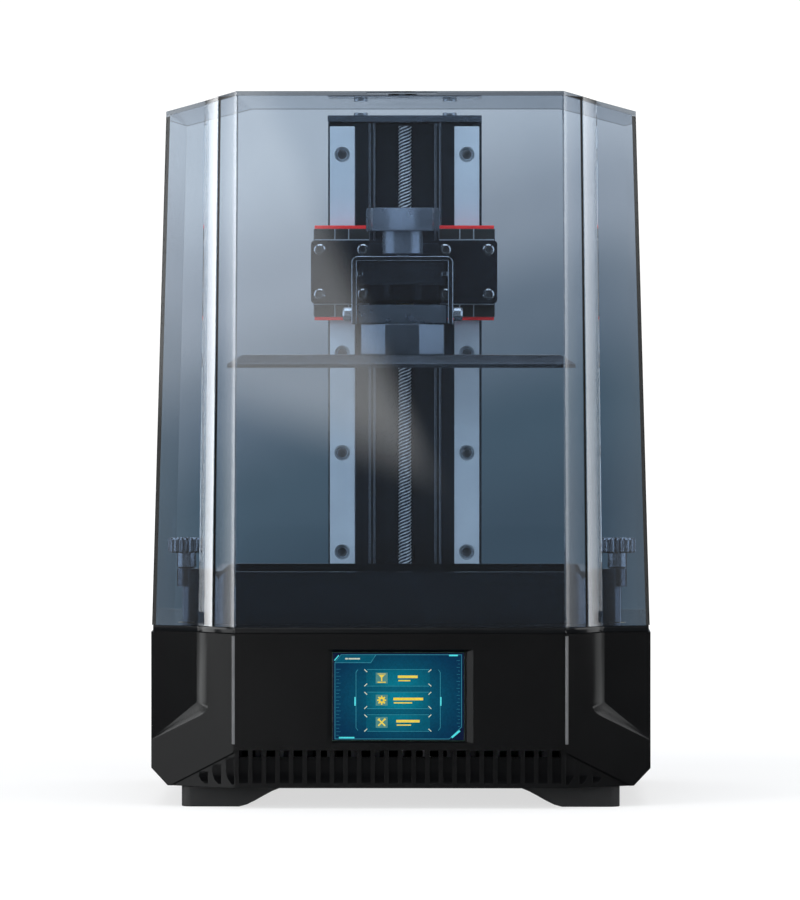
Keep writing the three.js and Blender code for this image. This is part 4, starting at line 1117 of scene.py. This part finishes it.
def facet_card(name, facet, side, away, build):
    """A card that fills one facet of the cover as a mirror. Its U runs towards the panel and V up."""
    sign = -1 if side == "left" else 1

    def corner(plan, index, height):
        return Vector((sign * plan[index][0], plan[index][1], height)) * MM

    crown = crown_creases()
    points = [corner(FACET_FOOT, facet + 1, COVER_SPAN[0]), corner(FACET_FOOT, facet, COVER_SPAN[0]),
              corner(crown, facet, COVER_SPAN[1]), corner(crown, facet + 1, COVER_SPAN[1])]
    normal = (points[1] - points[0]).cross(points[3] - points[0]).normalized()
    eye = camera.location
    behind = eye - 2 * (eye - points[0]).dot(normal) * normal
    corners = [p + (p - behind).normalized() * away for p in points]
    piece = mirror_card(name, corners, build)
    layer = piece.data.uv_layers.new(name="across")
    for loop, spot in zip(layer.data, ((0, 0), (1, 0), (1, 1), (0, 1))):
        loop.uv = spot


def across(tree):
    """U towards the panel and V up, on a facet card."""
    source = tree.nodes.new("ShaderNodeTexCoord")
    return split(tree, source.outputs["UV"])[:2]


def strip(name, angle, away, half, low, high, strength):
    """A narrow upright strip at an angle from straight ahead, for the rounded creases."""
    def build(tree):
        x, y, z = split(tree, place(tree))
        return span(tree, z, strength * 0.8, strength, 0.0, 0.6), PALE_LIGHT

    turn = math.radians(angle)
    out = Vector((math.sin(turn), -math.cos(turn), 0))
    side = Vector((math.cos(turn), math.sin(turn), 0))
    edges = ((-half, low), (half, low), (half, high), (-half, high))
    mirror_card(name, [out * away + side * aside + Vector((0, 0, z)) for aside, z in edges], build)


def low_card():
    """A soft card low on the left, which lightens the left of the base's front."""
    def build(tree):
        x, y, z = split(tree, place(tree))
        return span(tree, x, 1.1, 0.0, -0.75, 0.05, True), (1.0, 0.99, 0.98)

    front_card("low_card", -1.2, 0.1, -0.8, -0.02, build)


def corner_cards():
    def step(peak, edge):
        def build(tree):
            u, v = across(tree)
            ramp = span(tree, u, 0.3, peak, 0.02, edge - 0.08)
            return times(tree, ramp, span(tree, u, 1.0, 0.02, edge, edge + 0.05)), SOFT_LIGHT
        return build

    def chamfer(low, high, crease, rise):
        def build(tree):
            u, v = across(tree)
            ramp = times(tree, u, u)
            level = plus(tree, span(tree, ramp, low, high, 0.0, 0.8),
                         span(tree, u, 0.0, crease, 0.80, 0.95, True))
            return plus(tree, level, span(tree, v, 0.0, rise, 0.35, 0.75, True)), SOFT_LIGHT
        return build

    def wing(outer, inner, rise, start, stop):
        def build(tree):
            u, v = across(tree)
            return plus(tree, span(tree, u, outer, inner, 0.0, 1.0),
                        span(tree, v, 0.0, rise, start, stop, True)), PALE_LIGHT
        return build

    facet_card("step_card_left", 1, "left", 0.7, step(9.5, 0.93))
    facet_card("step_card_right", 1, "right", 0.7, step(4.6, 0.93))
    facet_card("chamfer_card_left", 0, "left", 1.2, chamfer(0.2, 3.9, 5.0, 1.5))
    facet_card("chamfer_card_right", 0, "right", 1.2, chamfer(0.3, 1.9, 2.8, 0.3))
    facet_card("wing_card_left", 2, "left", 2.0, wing(1.2, 0.3, 2.0, 0.34, 0.52))
    facet_card("wing_card_right", 2, "right", 2.0, wing(1.1, 0.2, 1.0, 0.5, 0.85))
    for sign in (-1, 1):
        side = "left" if sign < 0 else "right"
        bright = 1.0 if sign < 0 else 0.65
        strip(f"corner_strip_{side}", sign * 54, 1.9, 0.28, 0.14, 0.66, 11 * bright)
        strip(f"fold_strip_{side}", sign * 90, 1.3, 0.42, 0.10, 0.60, 4.0 * bright)
        # Low cards for the base: its cheeks, its upright edges and, from above, its sloping shoulders.
        strip(f"cheek_card_{side}", sign * 70, 1.9, 0.30, -0.25, 0.12, 2.0 if sign < 0 else 0.05)
        strip(f"edge_card_{side}", sign * 19, 2.0, 0.07, -0.25, 0.10, 40 if sign < 0 else 22)
        strip(f"flank_card_{side}", sign * 100, 1.4, 0.35, -0.15, 0.09, 3.0 * bright)
        strip(f"shoulder_card_{side}", sign * 122, 1.2, 0.30, 0.55, 1.25, 4.5 * bright)


def area_light(name, location, target, wide, tall, power, colour=(1, 1, 1)):
    data = bpy.data.lights.new(name, "AREA")
    data.shape = "RECTANGLE"
    data.size, data.size_y = wide, tall
    data.energy = power
    data.color = colour
    lamp = bpy.data.objects.new(name, data)
    lamp.location = location
    lamp.rotation_mode = "QUATERNION"
    lamp.rotation_quaternion = (Vector(target) - Vector(location)).to_track_quat("-Z", "Y")
    scene.collection.objects.link(lamp)
    lamp.visible_camera = False
    return lamp


def sky():
    """Pure white behind the object, and a dimmer surround for everything that it lights."""
    world = bpy.data.worlds.new("studio")
    scene.world = world
    world.use_nodes = True
    tree = world.node_tree
    tree.nodes.clear()
    output = tree.nodes.new("ShaderNodeOutputWorld")
    seen = tree.nodes.new("ShaderNodeBackground")
    seen.inputs["Color"].default_value = (1, 1, 1, 1)
    seen.inputs["Strength"].default_value = 1.1
    around = tree.nodes.new("ShaderNodeBackground")
    source = tree.nodes.new("ShaderNodeTexCoord")
    x, y, z = split(tree, source.outputs["Generated"])
    soft = blend_colour(tree, span(tree, z, 0, 1, -0.1, 0.9, True), (0.42, 0.43, 0.45), (0.75, 0.78, 0.82))
    dim = blend_colour(tree, span(tree, y, 0, 1, 0.6, 0.95, True), (0.07, 0.075, 0.08), (0.26, 0.29, 0.32))
    path = tree.nodes.new("ShaderNodeLightPath")
    mirrored = calculate(tree, "MAXIMUM", path.outputs["Is Glossy Ray"], path.outputs["Is Transmission Ray"])
    tree.links.new(blend_colour(tree, mirrored, soft, dim), around.inputs["Color"])
    mix = tree.nodes.new("ShaderNodeMixShader")
    tree.links.new(path.outputs["Is Camera Ray"], mix.inputs["Fac"])
    tree.links.new(around.outputs[0], mix.inputs[1])
    tree.links.new(seen.outputs[0], mix.inputs[2])
    tree.links.new(mix.outputs[0], output.inputs["Surface"])


floor()
drum()
veil_card()
low_card()
corner_cards()
area_light("key_left", (-1.7, -1.5, 1.5), (0, 0, 0.2), 1.2, 1.4, 26, (1.0, 0.99, 0.98))
area_light("key_right", (1.8, -1.2, 1.2), (0, 0, 0.2), 1.0, 1.3, 10, (0.97, 0.98, 1.0))
area_light("top", (0, -0.2, 2.2), (0, 0, 0.1), 1.8, 1.8, 22)
fill = area_light("fill", (-0.3, -3.2, 0.6), (0, 0, 0.25), 2.0, 1.0, 70, (0.90, 0.96, 1.0))
fill.visible_glossy = False
sky()
